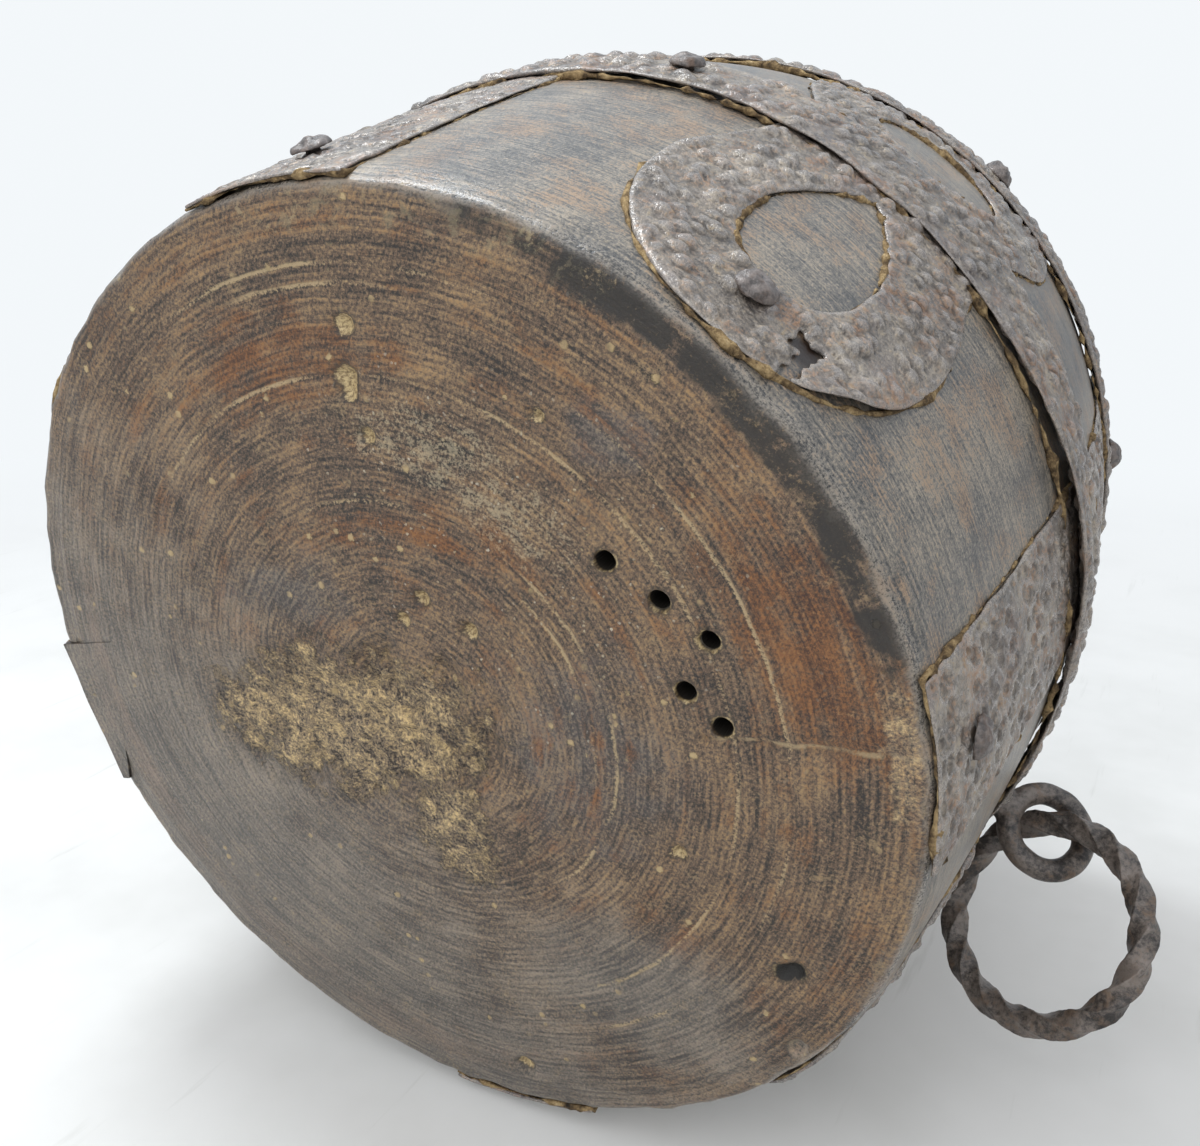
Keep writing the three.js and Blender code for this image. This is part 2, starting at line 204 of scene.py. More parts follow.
# Feeds a height in millimetres to the surface as bump.
def emboss(surface, height):
    bump = height.node("Bump", None, {"Height": height, "Distance": mm, "Strength": 1.0})
    feed(surface, "Normal", bump)


# Table: a pale plain board under the measure as it lies, seen only from its upper side.
# Far from the measure it fades into the light backdrop, and it keeps the soft shadow, which a faint painted
# glow lightens.
BOARD_SIZE = 4.0
HAZE = (0.90, 0.935, 0.96)
HAZE_START, TABLE_HAZE_END = 180.0, 650.0
down = Vector((0.074, 0.987, -0.144)).normalized()
lowest = max(
    down.dot(vertex.co)
    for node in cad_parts.values()
    for vertex in node.data.vertices
)


# The piece just added, under its own name.
def named(name):
    piece = bpy.context.active_object
    piece.name = name
    return piece


# Fades a board into the haze with distance, and shows it only where the mask is 1.
def finish_board(board, material, place, surface, haze_end, mask):
    tree = material.node_tree
    plain = Wire(tree, surface.outputs[0])
    haze = place.node("Emission", None, {"Color": HAZE, "Strength": 1.0})
    far = place.length().rise(HAZE_START, haze_end)
    faded = place.node("MixShader", None, {0: far, 1: plain, 2: haze})
    clear = place.node("BsdfTransparent")
    shown = place.node("MixShader", None, {0: mask, 1: clear, 2: faded})
    tree.links.new(shown.socket, tree.nodes["Material Output"].inputs["Surface"])
    board.data.materials.append(material)


bpy.ops.mesh.primitive_plane_add(size=BOARD_SIZE)
table = named("table")
table.matrix_world = Matrix.Translation(down * lowest) @ (-down).to_track_quat("Z", "Y").to_matrix().to_4x4()
table_finish, place, surface = new_finish("pale_table")
scuffs = place.stretch(1.0, 0.08, 1.0).noise(5.0, 4.0, 0.6).rise(0.62, 0.75)
smudges = place.noise(60.0, 4.0, 0.6).rise(0.35, 0.75)
paint = (scuffs * 0.6 + smudges * 0.5).blend((0.66, 0.665, 0.66), (0.52, 0.525, 0.51))
feed(surface, "Base Color", paint)
# Painted light: a faint glow on the table lightens its shade.
feed(surface, "Emission Color", (0.90, 0.92, 0.92, 1.0))
feed(surface, "Emission Strength", 0.09)
feed(surface, "Roughness", 0.7)
feed(surface, "Specular IOR Level", 0.2)
upper_side = 1.0 - place.node("NewGeometry", output="Backfacing")
finish_board(table, table_finish, place, surface, TABLE_HAZE_END, upper_side)

# Shelf: a pale board under the measure where it stands upright, for the views from other sides.
# It is seen only by the camera and only from above, and it throws no light or shade.
SHELF_GAP, SHELF_HAZE_END = 0.4, 600.0
bpy.ops.mesh.primitive_plane_add(size=BOARD_SIZE, location=(0.0, 0.0, -SHELF_GAP * mm))
shelf = named("shelf")
shelf_finish, place, surface = new_finish("pale_shelf")
feed(surface, "Base Color", (0.88, 0.90, 0.90, 1.0))
feed(surface, "Roughness", 0.8)
upper_side = 1.0 - place.node("NewGeometry", output="Backfacing")
seen = place.node("LightPath", output="Is Camera Ray") * upper_side
finish_board(shelf, shelf_finish, place, surface, SHELF_HAZE_END, seen)

# Light: a pale room, brighter above, with a soft lamp above the measure as it lies and one in front.
# What the camera sees of the room is the same pale haze that the boards fade into.
world = bpy.data.worlds.new("room")
world.use_nodes = True
scene.world = world
tree = world.node_tree
backdrop = tree.nodes["Background"]
start = Wire(tree, backdrop.outputs[0])
seen = start.node("LightPath", output="Is Camera Ray")
mirrored = start.node("LightPath", output="Is Glossy Ray")
through = start.node("LightPath", output="Is Transmission Ray")
straight = seen.most(mirrored, through)
lamp_up = -down
lamp_side = view_right
heading = start.node("TexCoord", output=0)
height = start.node("VectorMath", {"operation": "DOT_PRODUCT"}, {0: heading, 1: lamp_up}, 1)
above = height.rise(-0.3, 0.9)
sky = mirrored.blend(HAZE, above.blend((0.30, 0.33, 0.37), (1.10, 1.22, 1.35)))
room = above.blend((0.62, 0.63, 0.64), (0.88, 0.89, 0.91))
tree.links.new(straight.blend(room, sky).socket, backdrop.inputs["Color"])
backdrop.inputs["Strength"].default_value = 1.0
middle = Vector((0.0, 0.0, 65.0)) * mm


# A square lamp that faces the middle of the measure.
def new_lamp(name, size, energy, color, at):
    lamp = bpy.data.objects.new(name, bpy.data.lights.new(name, "AREA"))
    lamp.data.shape = "SQUARE"
    lamp.data.size = size
    lamp.data.energy = energy
    lamp.data.color = color
    lamp.location = at
    lamp.rotation_euler = (at - middle).to_track_quat("Z", "Y").to_euler()
    scene.collection.objects.link(lamp)


overhead = middle + lamp_up * 0.58 - lamp_side * 0.16 + view_forward * 0.10
new_lamp("soft_lamp", size=0.20, energy=2.3, color=(0.92, 0.97, 1.0), at=overhead)
in_front = view_point - view_forward * 0.28 + lamp_up * 0.30 - lamp_side * 0.22
new_lamp("front_lamp", size=0.5, energy=2.0, color=(1.0, 1.0, 1.0), at=in_front)

# Turned body: one billet of dark hardwood, hollowed on the lathe and left with a flat end-grain base.
# The base keeps the turner's grooves, wood-borer holes, small pits and a patch of caked earth.
HEIGHT, BASE_RADIUS, BELLY_RADIUS, BELLY_HEIGHT, MOUTH_RADIUS = 138.0, 80.0, 87.8, 84.0, 81.5
LOWER_SWELL, UPPER_SWELL = 1.45, 2
ARRIS, LIP, WALL, FLOOR, FLOOR_CORNER = 2.5, 2.5, 10.0, 15.0, 14.0
RIPPLE_STEP, BODY_STEPS = 0.6, 300
BASE_MARKS_HIGH, WORN_EDGE_START = 4.0, 74.0
# Each groove: its radius, the azimuths where it starts and stops, and how broken it is.
GROOVE_HALF = 0.55
GROOVES = (
    (53.8, -160.0, 60.0, 0.5),
    (35.2, -125.0, 95.0, 0.7),
    (32.0, -60.0, 10.0, 0.4),
    (66.4, -114.0, -86.0, 1.2),
    (69.1, -125.0, -60.0, 1.5),
    (61.5, -70.0, 60.0, 1.3),
)
BORER_HOLES = ((33.3, -33.8), (41.2, -29.6), (48.3, -25.5), (45.5, -17.0), (50.9, -13.0))
# Each pit: its place on the base and its size.
PITS = (
    (-7.1, -52.9, 1.7),
    (-7.0, -50.6, 1.2),
    (-6.5, -60.4, 1.4),
    (23.2, -52.2, 0.9),
    (2.9, -20.6, 1.2),
    (-0.7, -16.3, 0.9),
    (11.0, -17.3, 1.2),
    (-4.4, -44.7, 1.2),
    (45.2, 10.8, 1.1),
    (62.2, 26.6, 1.4),
    (64.2, 25.4, 1.4),
    (65.2, 40.6, 1.4),
    (17.8, 68.6, 1.3),
)
OPEN_PITS = ((62.2, 26.6), (64.2, 25.4))
PIT_DEPTH = 1.9
CRUST_X, CRUST_Y, CRUST_TURN = -14.0, 6.0, math.radians(-15.0)
CRUST_LONG, CRUST_SHORT = 30.0, 13.5
CRACK_AZIMUTH, CRACK_START, CRACK_END = -12.0, 49.0, 79.5
# Length of arc for one degree, as a share of the radius.
DEGREE_ARC = 0.01745
# Where one lobe has rusted through; the wood seen there is painted dark as shadow.
TEAR_AZIMUTH, TEAR_HEIGHT = -48.6, 13.0


def wall_radius(z):
    if z < BELLY_HEIGHT:
        below = 1 - z / BELLY_HEIGHT
        return BELLY_RADIUS - (BELLY_RADIUS - BASE_RADIUS) * below**LOWER_SWELL
    above = (z - BELLY_HEIGHT) / (HEIGHT - BELLY_HEIGHT)
    return BELLY_RADIUS - (BELLY_RADIUS - MOUTH_RADIUS) * above**UPPER_SWELL


# Applies every modifier of a piece, in order.
def apply_modifiers(piece):
    bpy.context.view_layer.objects.active = piece
    for modifier in list(piece.modifiers):
        bpy.ops.object.modifier_apply(modifier=modifier.name)


# A displacement by procedural noise, along the surface normal or one axis.
def ruffle(piece, kind, size, strength, middle=0.5, group="", direction="NORMAL", depth=1):
    texture = bpy.data.textures.new(piece.name + "_" + kind.lower(), kind)
    texture.noise_scale = size * mm
    if kind == "CLOUDS":
        texture.noise_depth = depth
    modifier = piece.modifiers.new("ruffle", "DISPLACE")
    modifier.texture = texture
    modifier.texture_coords = "LOCAL"
    modifier.direction = direction
    modifier.strength = strength * mm
    modifier.mid_level = middle
    modifier.vertex_group = group


# Opens the active piece for editing with only the wanted edges or faces selected.
def edit_some(piece, kind, wanted):
    bpy.ops.object.mode_set(mode="EDIT")
    bpy.ops.mesh.select_all(action="DESELECT")
    bpy.ops.mesh.select_mode(type=kind)
    bpy.ops.object.mode_set(mode="OBJECT")
    for element in piece.data.edges if kind == "EDGE" else piece.data.polygons:
        element.select = wanted(element)
    bpy.ops.object.mode_set(mode="EDIT")


# Opens the active piece for editing with all of it selected.
def edit_all():
    bpy.ops.object.mode_set(mode="EDIT")
    bpy.ops.mesh.select_mode(type="VERT")
    bpy.ops.mesh.select_all(action="SELECT")


# Closes it again.
def end_edit():
    bpy.ops.mesh.select_mode(type="VERT")
    bpy.ops.object.mode_set(mode="OBJECT")


# A loop with as many points as the profile, opened at its end, moved to it and spun about the lathe axis.
def spun(name, profile, steps):
    last = len(profile) - 1
    bpy.ops.mesh.primitive_circle_add(vertices=len(profile), radius=mm)
    piece = named(name)
    for vertex, (radius, z) in zip(piece.data.vertices, profile):
        vertex.co = (radius * mm, 0.0, z * mm)
    edit_some(piece, "EDGE", lambda edge: set(edge.vertices) == {0, last})
    bpy.ops.mesh.delete(type="EDGE")
    edit_all()
    bpy.ops.mesh.spin(steps=steps, angle=math.tau, center=(0, 0, 0), axis=(0, 0, 1))
    bpy.ops.mesh.select_all(action="SELECT")
    bpy.ops.mesh.remove_doubles(threshold=1e-6)
    bpy.ops.mesh.normals_make_consistent(inside=False)
    end_edit()
    bpy.ops.object.shade_smooth()
    return piece


# Angles of a quarter turn in even steps, from one step to another.
def quarter(first, last, steps):
    return [math.radians(90 * i / steps) for i in range(first, last + 1)]


profile = [(0.0, 0.1)]
radius = RIPPLE_STEP
while radius < BASE_RADIUS - ARRIS:
    close_lines = 0.03 * (1 - math.cos(radius * math.tau / 2.4))
    wide_lines = 0.025 * (1 - math.cos(radius * math.tau / 3.7))
    profile.append((radius, close_lines + wide_lines))
    radius += RIPPLE_STEP
arris_radius = wall_radius(ARRIS) - ARRIS
for turn in quarter(0, 8, 8):
    profile.append((arris_radius + ARRIS * math.sin(turn), ARRIS * (1 - math.cos(turn))))
for i in range(1, 61):
    z = ARRIS + (HEIGHT - LIP - ARRIS) * i / 60
    profile.append((wall_radius(z), z))
lip_outer = wall_radius(HEIGHT - LIP) - LIP
lip_inner = wall_radius(HEIGHT) - WALL + LIP
for turn in quarter(1, 6, 6):
    profile.append((lip_outer + LIP * math.cos(turn), HEIGHT - LIP * (1 - math.sin(turn))))
for turn in quarter(0, 5, 6):
    profile.append((lip_inner - LIP * math.sin(turn), HEIGHT - LIP * (1 - math.cos(turn))))
for i in range(0, 25):
    z = HEIGHT - LIP + (FLOOR + FLOOR_CORNER - HEIGHT + LIP) * i / 24
    profile.append((wall_radius(z) - WALL, z))
corner = wall_radius(FLOOR + FLOOR_CORNER) - WALL - FLOOR_CORNER
for turn in quarter(1, 8, 8):
    profile.append((corner + FLOOR_CORNER * math.cos(turn), FLOOR + FLOOR_CORNER * (1 - math.sin(turn))))
for i in range(1, 16):
    profile.append((corner * (1 - i / 15), FLOOR))
wood = spun("turned_body", profile, BODY_STEPS)

# Grooves, pits and a drying crack are pressed into the base, its edge is worn, and earth is caked on it.
crust_group = wood.vertex_groups.new(name="crust")
pit_group = wood.vertex_groups.new(name="pits")
edge_group = wood.vertex_groups.new(name="edge")
for vertex in wood.data.vertices:
    x, y, z = vertex.co / mm
    if z > BASE_MARKS_HIGH:
        continue
    radius = math.hypot(x, y)
    azimuth = math.degrees(math.atan2(y, x))
    along = (x - CRUST_X) * math.cos(CRUST_TURN) + (y - CRUST_Y) * math.sin(CRUST_TURN)
    across = (y - CRUST_Y) * math.cos(CRUST_TURN) - (x - CRUST_X) * math.sin(CRUST_TURN)
    ragged = noise.noise(Vector((x, y, 3.0)) * 0.16) * 0.9
    crusted = 1.3 - (along / CRUST_LONG) ** 2 - (across / CRUST_SHORT) ** 2 + ragged
    if crusted > 0.0:
        crust_group.add([vertex.index], min(1.0, crusted), "REPLACE")
    depth = sum(math.exp(-((x - px) ** 2 + (y - py) ** 2) / size**2) for px, py, size in PITS)
    for at, start, stop, gap in GROOVES:
        if start < azimuth < stop:
            line = math.exp(-(((radius - at) / GROOVE_HALF) ** 2))
            broken = noise.noise(Vector((azimuth * 0.35, at, 0.0))) * gap + 1.0 - gap
            depth += 0.22 * line * max(0.0, broken)
    waver = 1.2 * noise.noise(Vector((radius * 0.12, 0.0, 7.0)))
    crack = abs(azimuth - CRACK_AZIMUTH - waver) * radius * DEGREE_ARC
    if CRACK_START < radius < CRACK_END:
        depth += 0.45 * math.exp(-((crack / 0.45) ** 2))
    if depth > 0.01:
        pit_group.add([vertex.index], min(1.0, depth), "REPLACE")
    if radius > WORN_EDGE_START:
        edge_group.add([vertex.index], min(1.0, (radius - WORN_EDGE_START) / 3.5), "REPLACE")
ruffle(wood, "CLOUDS", 2.6, 2.6, 0.97, "crust", depth=3)
ruffle(wood, "CLOUDS", 6.0, 1.0, 1.0, "edge", depth=2)
dent = wood.modifiers.new("pits", "DISPLACE")
dent.strength = -PIT_DEPTH * mm
dent.mid_level = 0.0
dent.vertex_group = "pits"
apply_modifiers(wood)

# The borers' holes, each with a broken rim, and the recess for the last strap's toe.
# Each cut of a hole has a radius and a depth.
BORER_CUTS = ((1.5, 9.0), (1.85, 1.0))
STRAP_WIDTH = 29.0
STRAP_AZIMUTHS = (-104.0, -9.0, 78.0, 163.0)
TOE_LONG, TOE_SHORT, TOE_EDGE, TOE_CLEAR = 15.0, 3.0, 80.2, 0.07


# A skewed tongue at the base edge of the last strap, grown by a clearance.
def toe_block(clearance, low, high):
    half = STRAP_WIDTH / 2 + clearance
    outer = math.sqrt(TOE_EDGE**2 - half**2) + clearance
    bpy.ops.mesh.primitive_cube_add(size=1.0)
    block = bpy.context.active_object
    for vertex in block.data.vertices:
        positive = vertex.co.y > 0
        inner = BASE_RADIUS - (TOE_LONG if positive else TOE_SHORT) - clearance
        vertex.co = Vector(
            (
                outer if vertex.co.x > 0 else inner,
                half if positive else -half,
                high if vertex.co.z > 0 else low,
            )
        ) * mm
    block.rotation_euler.z = math.radians(STRAP_AZIMUTHS[-1])
    bpy.ops.object.transform_apply()
    return block


cutters = [toe_block(TOE_CLEAR, low=-1.0, high=1.2)]
for x, y in BORER_HOLES:
    for radius, depth in BORER_CUTS:
        bpy.ops.mesh.primitive_cone_add(
            vertices=18,
            radius1=radius * mm,
            radius2=radius * 0.7 * mm,
            depth=depth * mm,
            location=(x * mm, y * mm, (depth / 2 - 0.1) * mm),
            rotation=(0.06 * x / 40.0, 0.05 * y / 30.0, x),
        )
        cutters.append(bpy.context.active_object)
for cutter in cutters:
    bore = wood.modifiers.new("bore", "BOOLEAN")
    bore.operation = "DIFFERENCE"
    bore.solver = "MANIFOLD"
    bore.object = cutter
    apply_modifiers(wood)
    bpy.data.objects.remove(cutter)
wood.data.materials.clear()

wood_finish, place, surface = new_finish("dark_turned_wood")
flat = place.stretch(1.0, 1.0, 0.0)
x_mm = place.axis(0)
y_mm = place.axis(1)
z_mm = place.axis(2)
spread = flat.length()
azimuth = place.math("ARCTAN2", y_mm, x_mm) * math.degrees(1.0)


# How far inside an ellipse on the base: 1 at its middle, 0 on its edge, less outside.
def spot(x, y, long, short, turn=0.0):
    along = (x_mm - x) * math.cos(turn) + (y_mm - y) * math.sin(turn)
    across = (y_mm - y) * math.cos(turn) - (x_mm - x) * math.sin(turn)
    return 1.0 - along * along * (1 / long**2) - across * across * (1 / short**2)


# End grain: turned lines over a brown ground.
wander = flat.noise(20.0, 3.0) - 0.5
turning = spread + wander * 1.6
heading = place.node("VectorMath", {"operation": "NORMALIZE"}, {0: flat})
coil = place.node("CombineXYZ", None, {0: turning, 1: heading.axis(0) * 3.5, 2: heading.axis(1) * 3.5})
lines = coil.noise(0.55, 2.0, 0.7)
streaks = coil.noise(2.6, 3.0, 0.65)
mottle = flat.noise(15.0, 4.0, 0.66)
blots = flat.noise(7.0, 4.0, 0.68, 3.0)
fine = flat.noise(0.55, 2.0, 0.8)
hair = flat.turned(-0.4).stretch(1.0, 0.12, 1.0).noise(0.35, 2.0, 0.7)
rings = place.math("SINE", turning * 5.4) * 0.5 + 0.5
tone = mottle * 0.9 + streaks * 0.5 + lines + rings * 0.12 + fine * 1.7 + hair * 0.6 - 1.94
end_grain = tone.ramp(
    (0.14, (0.020, 0.016, 0.013)),
    (0.40, (0.098, 0.065, 0.043)),
    (0.60, (0.176, 0.116, 0.068)),
    (0.90, (0.320, 0.206, 0.098)),
)

# Patches of slate grey, warm red, and pale dust that also carries a painted sheen, greyer towards one side of
# the base.
slate = spot(-22.0, -16.0, 18.0, 8.0, -0.3)
slate = slate.most(spot(34.0, -51.0, 9.0, 7.0), spot(31.0, -1.0, 20.0, 24.0) * 0.9)
slate = (slate + blots.sway(2.6)).rise(0.15, 1.0)
slate_color = tone.rise(0.2, 0.8).blend((0.050, 0.047, 0.047), (0.150, 0.138, 0.125))
end_grain = (slate * 0.62).blend(end_grain, slate_color)
low_arc = (1.0 - abs(spread - 71.5) / 5.0) * azimuth.rise(55.0, 85.0)
warm = (spot(60.0, -28.0, 28.0, 11.0, 0.92) * 1.1).most(
    spot(44.0, 27.0, 10.0, 6.0) * 0.6,
    spot(4.0, -31.0, 24.0, 7.0) * 0.6,
    spot(-22.0, -52.0, 22.0, 10.0, -0.5) * 0.75,
    low_arc * 0.8,
)
warm = (warm + streaks.sway(3.2) + blots.sway(3.0) + fine.sway(1.2)).rise(0.0, 1.3)
warm_color = tone.rise(0.1, 0.95).blend((0.048, 0.017, 0.007), (0.235, 0.092, 0.024))
end_grain = (warm * 0.85).blend(end_grain, warm_color)
pale = spot(44.0, 40.0, 26.0, 18.0).most(0.0) * 0.8
# Painted sheen: the pale dust also carries a grey veil that grows towards one side of the base.
dust_and_sheen = (pale + x_mm * -0.011 + y_mm * 0.014 + mottle.sway(1.6) + lines.sway(0.5)).rise(-0.15, 0.95)
dust_and_sheen_color = tone.rise(0.1, 0.95).blend((0.088, 0.084, 0.077), (0.232, 0.212, 0.182))
end_grain = (dust_and_sheen * 0.70).blend(end_grain, dust_and_sheen_color)

# Earth: an ochre film, the caked patch with painted shade in its gaps, and a thin grey one.
ochre = (flat.noise(5.0, 4.0, 0.72, 11.0) + fine.sway(0.6)).rise(0.58, 0.78)
end_grain = (ochre * 0.5).blend(end_grain, (0.27, 0.195, 0.105))
clods = flat.noise(2.6, 4.0, 0.75, 5.0)
crusted = spot(CRUST_X, CRUST_Y, CRUST_LONG + 2.0, CRUST_SHORT + 1.5, CRUST_TURN)
crusted = crusted.most(spot(6.0, 21.0, 9.0, 11.0) * 0.7)
crusted = (crusted + clods.sway(1.6) + blots.sway(2.2)).rise(0.0, 0.65)
fibres = flat.turned(0.9).stretch(1.0, 0.6, 1.0).noise(2.2, 5.0, 0.8, 21.0)
# Painted shade: the earth is darkest in the low gaps of its fibres and clods, where its bump is lowest.
earth = (fibres * 0.8 + fine.sway(0.6) + clods * 0.2).ramp(
    (0.38, (0.034, 0.028, 0.024)),
    (0.46, (0.190, 0.148, 0.108)),
    (0.54, (0.370, 0.275, 0.155)),
    (0.66, (0.740, 0.550, 0.280)),
)
end_grain = (crusted * 0.9).blend(end_grain, earth)
grey_patch = spot(7.0, -44.5, 15.0, 7.0, 0.15).most(spot(18.0, -38.0, 13.0, 6.0, 0.5))
grey_patch = (grey_patch * 0.7 + clods.sway(5.0) + fine.sway(4.0)).rise(0.3, 1.3)
end_grain = (grey_patch * 0.5).blend(end_grain, (0.38, 0.325, 0.215))

# Dust in the grooves, and specks and grit stuck to the base.
groove_mask = 0.0
uneven = spread + fine.sway(0.8) + blots.sway(1.0)
for at, start, stop, _ in GROOVES:
    line = (1.0 - abs(uneven - at) / 0.42).rise(0.0, 0.7)
    begun = azimuth.rise(start - 4.0, start + 8.0)
    not_ended = azimuth.rise(stop + 4.0, stop - 8.0)
    groove_mask = groove_mask + line * begun * not_ended
broken = (coil.stretch(0.25, 1.0, 1.0).noise(1.3, 3.0, 0.7, 4.0) + fine.sway(0.5)).rise(0.46, 0.62)
end_grain = (groove_mask.capped() * broken * 0.85).blend(end_grain, (0.40, 0.30, 0.165))
specks = 1.0 - (flat.cells(1.25) + fine.sway(0.7)).rise(0.10, 0.24)
scatter = spot(25.0, -30.0, 34.0, 26.0, -0.6).most(spot(8.0, -40.0, 26.0, 18.0))
scatter = (scatter + blots.sway(2.0)).rise(-0.2, 0.9) * 0.8 + 0.12
sparse = flat.noise(1.9, 2.0, 0.5, 2.0).rise(0.47, 0.56)
specks = specks * scatter * sparse
grit = 1.0 - (flat.cells(4.3) + fine.sway(0.25)).rise(0.11, 0.16)
grit = grit * flat.noise(9.0, 3.0, 0.6, 13.0).rise(0.48, 0.60)
end_grain = (grit * 0.85).blend(end_grain, (0.46, 0.34, 0.17))
speck_color = blots.rise(0.4, 0.6).blend((0.42, 0.31, 0.16), (0.60, 0.53, 0.41))
end_grain = (specks * 0.9).blend(end_grain, speck_color)

# The edge of the base: dark along one stretch, dusty along another, and dirty by a strap's foot.
rim_dark = spread.rise(72.4, 77.6) * azimuth.rise(-108.0, -58.0) * azimuth.rise(-6.0, -38.0)
rim_ragged = (blots.sway(4.4) + clods.sway(2.4) + fine.sway(2.4)) * rim_dark
rim_dark = (rim_dark + rim_ragged).rise(0.35, 0.70)
end_grain = (rim_dark * (0.95 - ochre * 0.6)).blend(end_grain, (0.020, 0.017, 0.014))
rim_dust = spread.rise(70.0, 75.0) * azimuth.rise(-118.0, -100.0) * azimuth.rise(-50.0, -75.0)
rim_dust = (rim_dust * (ochre * 0.7 + clods.rise(0.45, 0.62) * 0.6)).rise(0.2, 0.9)
end_grain = (rim_dust * 0.6).blend(end_grain, (0.27, 0.22, 0.13))
crack_at = abs(azimuth - CRACK_AZIMUTH + wander * 3.0) * spread * DEGREE_ARC
crack = 1.0 - (crack_at + fine.sway(0.8)).rise(0.15, 0.5)
crack = crack * spread.rise(CRACK_START, CRACK_START + 3.0)
end_grain = (crack * 0.7 * clods.rise(0.35, 0.55)).blend(end_grain, (0.36, 0.27, 0.15))
foot_dirt = (spot(76.0, -16.0, 13.0, 4.5, 1.35) + clods.sway(3.0) + blots.sway(2.0)).rise(0.1, 0.9)
end_grain = (foot_dirt * 0.55).blend(end_grain, earth)

# Holes and pits: a painted shadow round each, a crumbled tan rim, and painted black shade inside those that
# are open.
BORER_MARK = 1.6
hole_rim, hole_shade, open_hole_shade = 0.0, 0.0, 0.0
clod_sway = clods.sway(3.0)
fine_sway = fine.sway(1.0)
for x, y, size in [(x, y, BORER_MARK) for x, y in BORER_HOLES] + list(PITS):
    away = flat.away_from((x, y, 0.0))
    ragged = away + clod_sway + fine_sway
    hole_shade = hole_shade + (1.0 - ragged.rise(size * 1.1, size * 1.7))
    hole_rim = hole_rim + (1.0 - ragged.rise(size * 0.9, size * 1.15))
    if (x, y) in BORER_HOLES + OPEN_PITS:
        open_hole_shade = open_hole_shade + (1.0 - away.rise(size * 1.1, size * 1.2))
tan = fine.rise(0.35, 0.62).blend((0.20, 0.135, 0.062), (0.58, 0.45, 0.24))
# Painted shadow round each hole and pit, and painted black shade inside the open ones.
end_grain = (hole_shade.capped() * 0.7).blend(end_grain, (0.030, 0.022, 0.016))
end_grain = (hole_rim.capped() * 0.9).blend(end_grain, tan)
end_grain = (open_hole_shade.capped() * z_mm.rise(0.3, 0.9)).blend(end_grain, (0.010, 0.008, 0.006))

# Side grain: grey and brown, with painted shade in the hollow, painted shadow under the torn lobe, and a
# painted highlight along the worn arris.
side_mottle = place.stretch(1.0, 1.0, 0.5).noise(16.0, 4.0, 0.66, 2.0)
side_fine = place.stretch(0.13, 0.13, 2.0).noise(0.9, 3.0, 0.7)
side_grit = place.noise(0.45, 2.0, 0.8)
side_tone = side_mottle + side_fine * 1.3 + side_grit * 1.5 - 1.4
side_grain = side_tone.ramp(
    (0.18, (0.036, 0.035, 0.035)),
    (0.50, (0.142, 0.128, 0.110)),
    (0.82, (0.310, 0.260, 0.198)),
)
brown = (place.noise(10.0, 3.0, 0.65, 3.0) + side_fine.sway(0.6) + side_grit.sway(0.6)).rise(0.50, 0.70)
brown_color = side_tone.rise(0.2, 0.8).blend((0.095, 0.050, 0.026), (0.300, 0.175, 0.088))
side_grain = (brown * 0.55).blend(side_grain, brown_color)
side_specks = (1.0 - place.cells(2.6).rise(0.06, 0.16)) * place.noise(14.0, 3.0, 0.6, 6.0).rise(0.48, 0.62)
side_grain = (side_specks * 0.7).blend(side_grain, (0.36, 0.28, 0.17))
# Painted shadow: the wood round the torn notch, under the sprung tongue, is darkened almost to black.
tear_turn = math.radians(TEAR_AZIMUTH)
tear = Vector((math.cos(tear_turn), math.sin(tear_turn), 0.0)) * wall_radius(TEAR_HEIGHT)
tear.z = TEAR_HEIGHT
side_grain = (1.0 - place.away_from(tear).rise(1.6, 4.0)).blend(side_grain, (0.020, 0.011, 0.007))
# Painted shade: the hollow inside the wall is darkened.
inside = (1.0 - spread.rise(77.9, 78.6)) * z_mm.rise(5.0, 8.0)
side_grain = (inside * 0.6).blend(side_grain, (0.10, 0.072, 0.048))
on_side = z_mm.rise(0.6, 1.3) * (1.0 - (1.0 - spread.rise(74.0, 77.0)) * (1.0 - z_mm.rise(10.0, 12.0)))
# Painted highlight: the worn arris is painted paler, partly as wear and partly as a highlight along the edge.
worn_highlit_edge = z_mm.rise(0.4, 1.0) * (1.0 - z_mm.rise(1.8, 4.0)) * spread.rise(76.5, 78.5)
rubbed_and_highlit = worn_highlit_edge * (side_grit + side_fine * 0.6).rise(0.62, 0.95) * 0.5
feed(surface, "Base Color", rubbed_and_highlit.blend(on_side.blend(end_grain, side_grain), (0.23, 0.205, 0.175)))
base_rough = 0.56 + crusted * 0.35 + fine.sway(0.35) - dust_and_sheen * 0.14
side_rough = 0.38 + side_mottle.sway(0.3) + side_grit.sway(0.25) - worn_highlit_edge * 0.1
feed(surface, "Roughness", base_rough * (1.0 - on_side) + side_rough * on_side)
base_height = lines * 0.12 + fine * 0.20 + hair * 0.05
base_height = base_height + (fibres * 1.4 + clods * 0.5) * crusted + (specks + grit) * 0.3
side_height = side_fine * 0.08 + side_mottle * 0.25 + side_grit * 0.10
emboss(surface, base_height * (1.0 - on_side) + side_height * on_side)
wood.data.materials.append(wood_finish)
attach(wood, "measure")
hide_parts("wood_body")

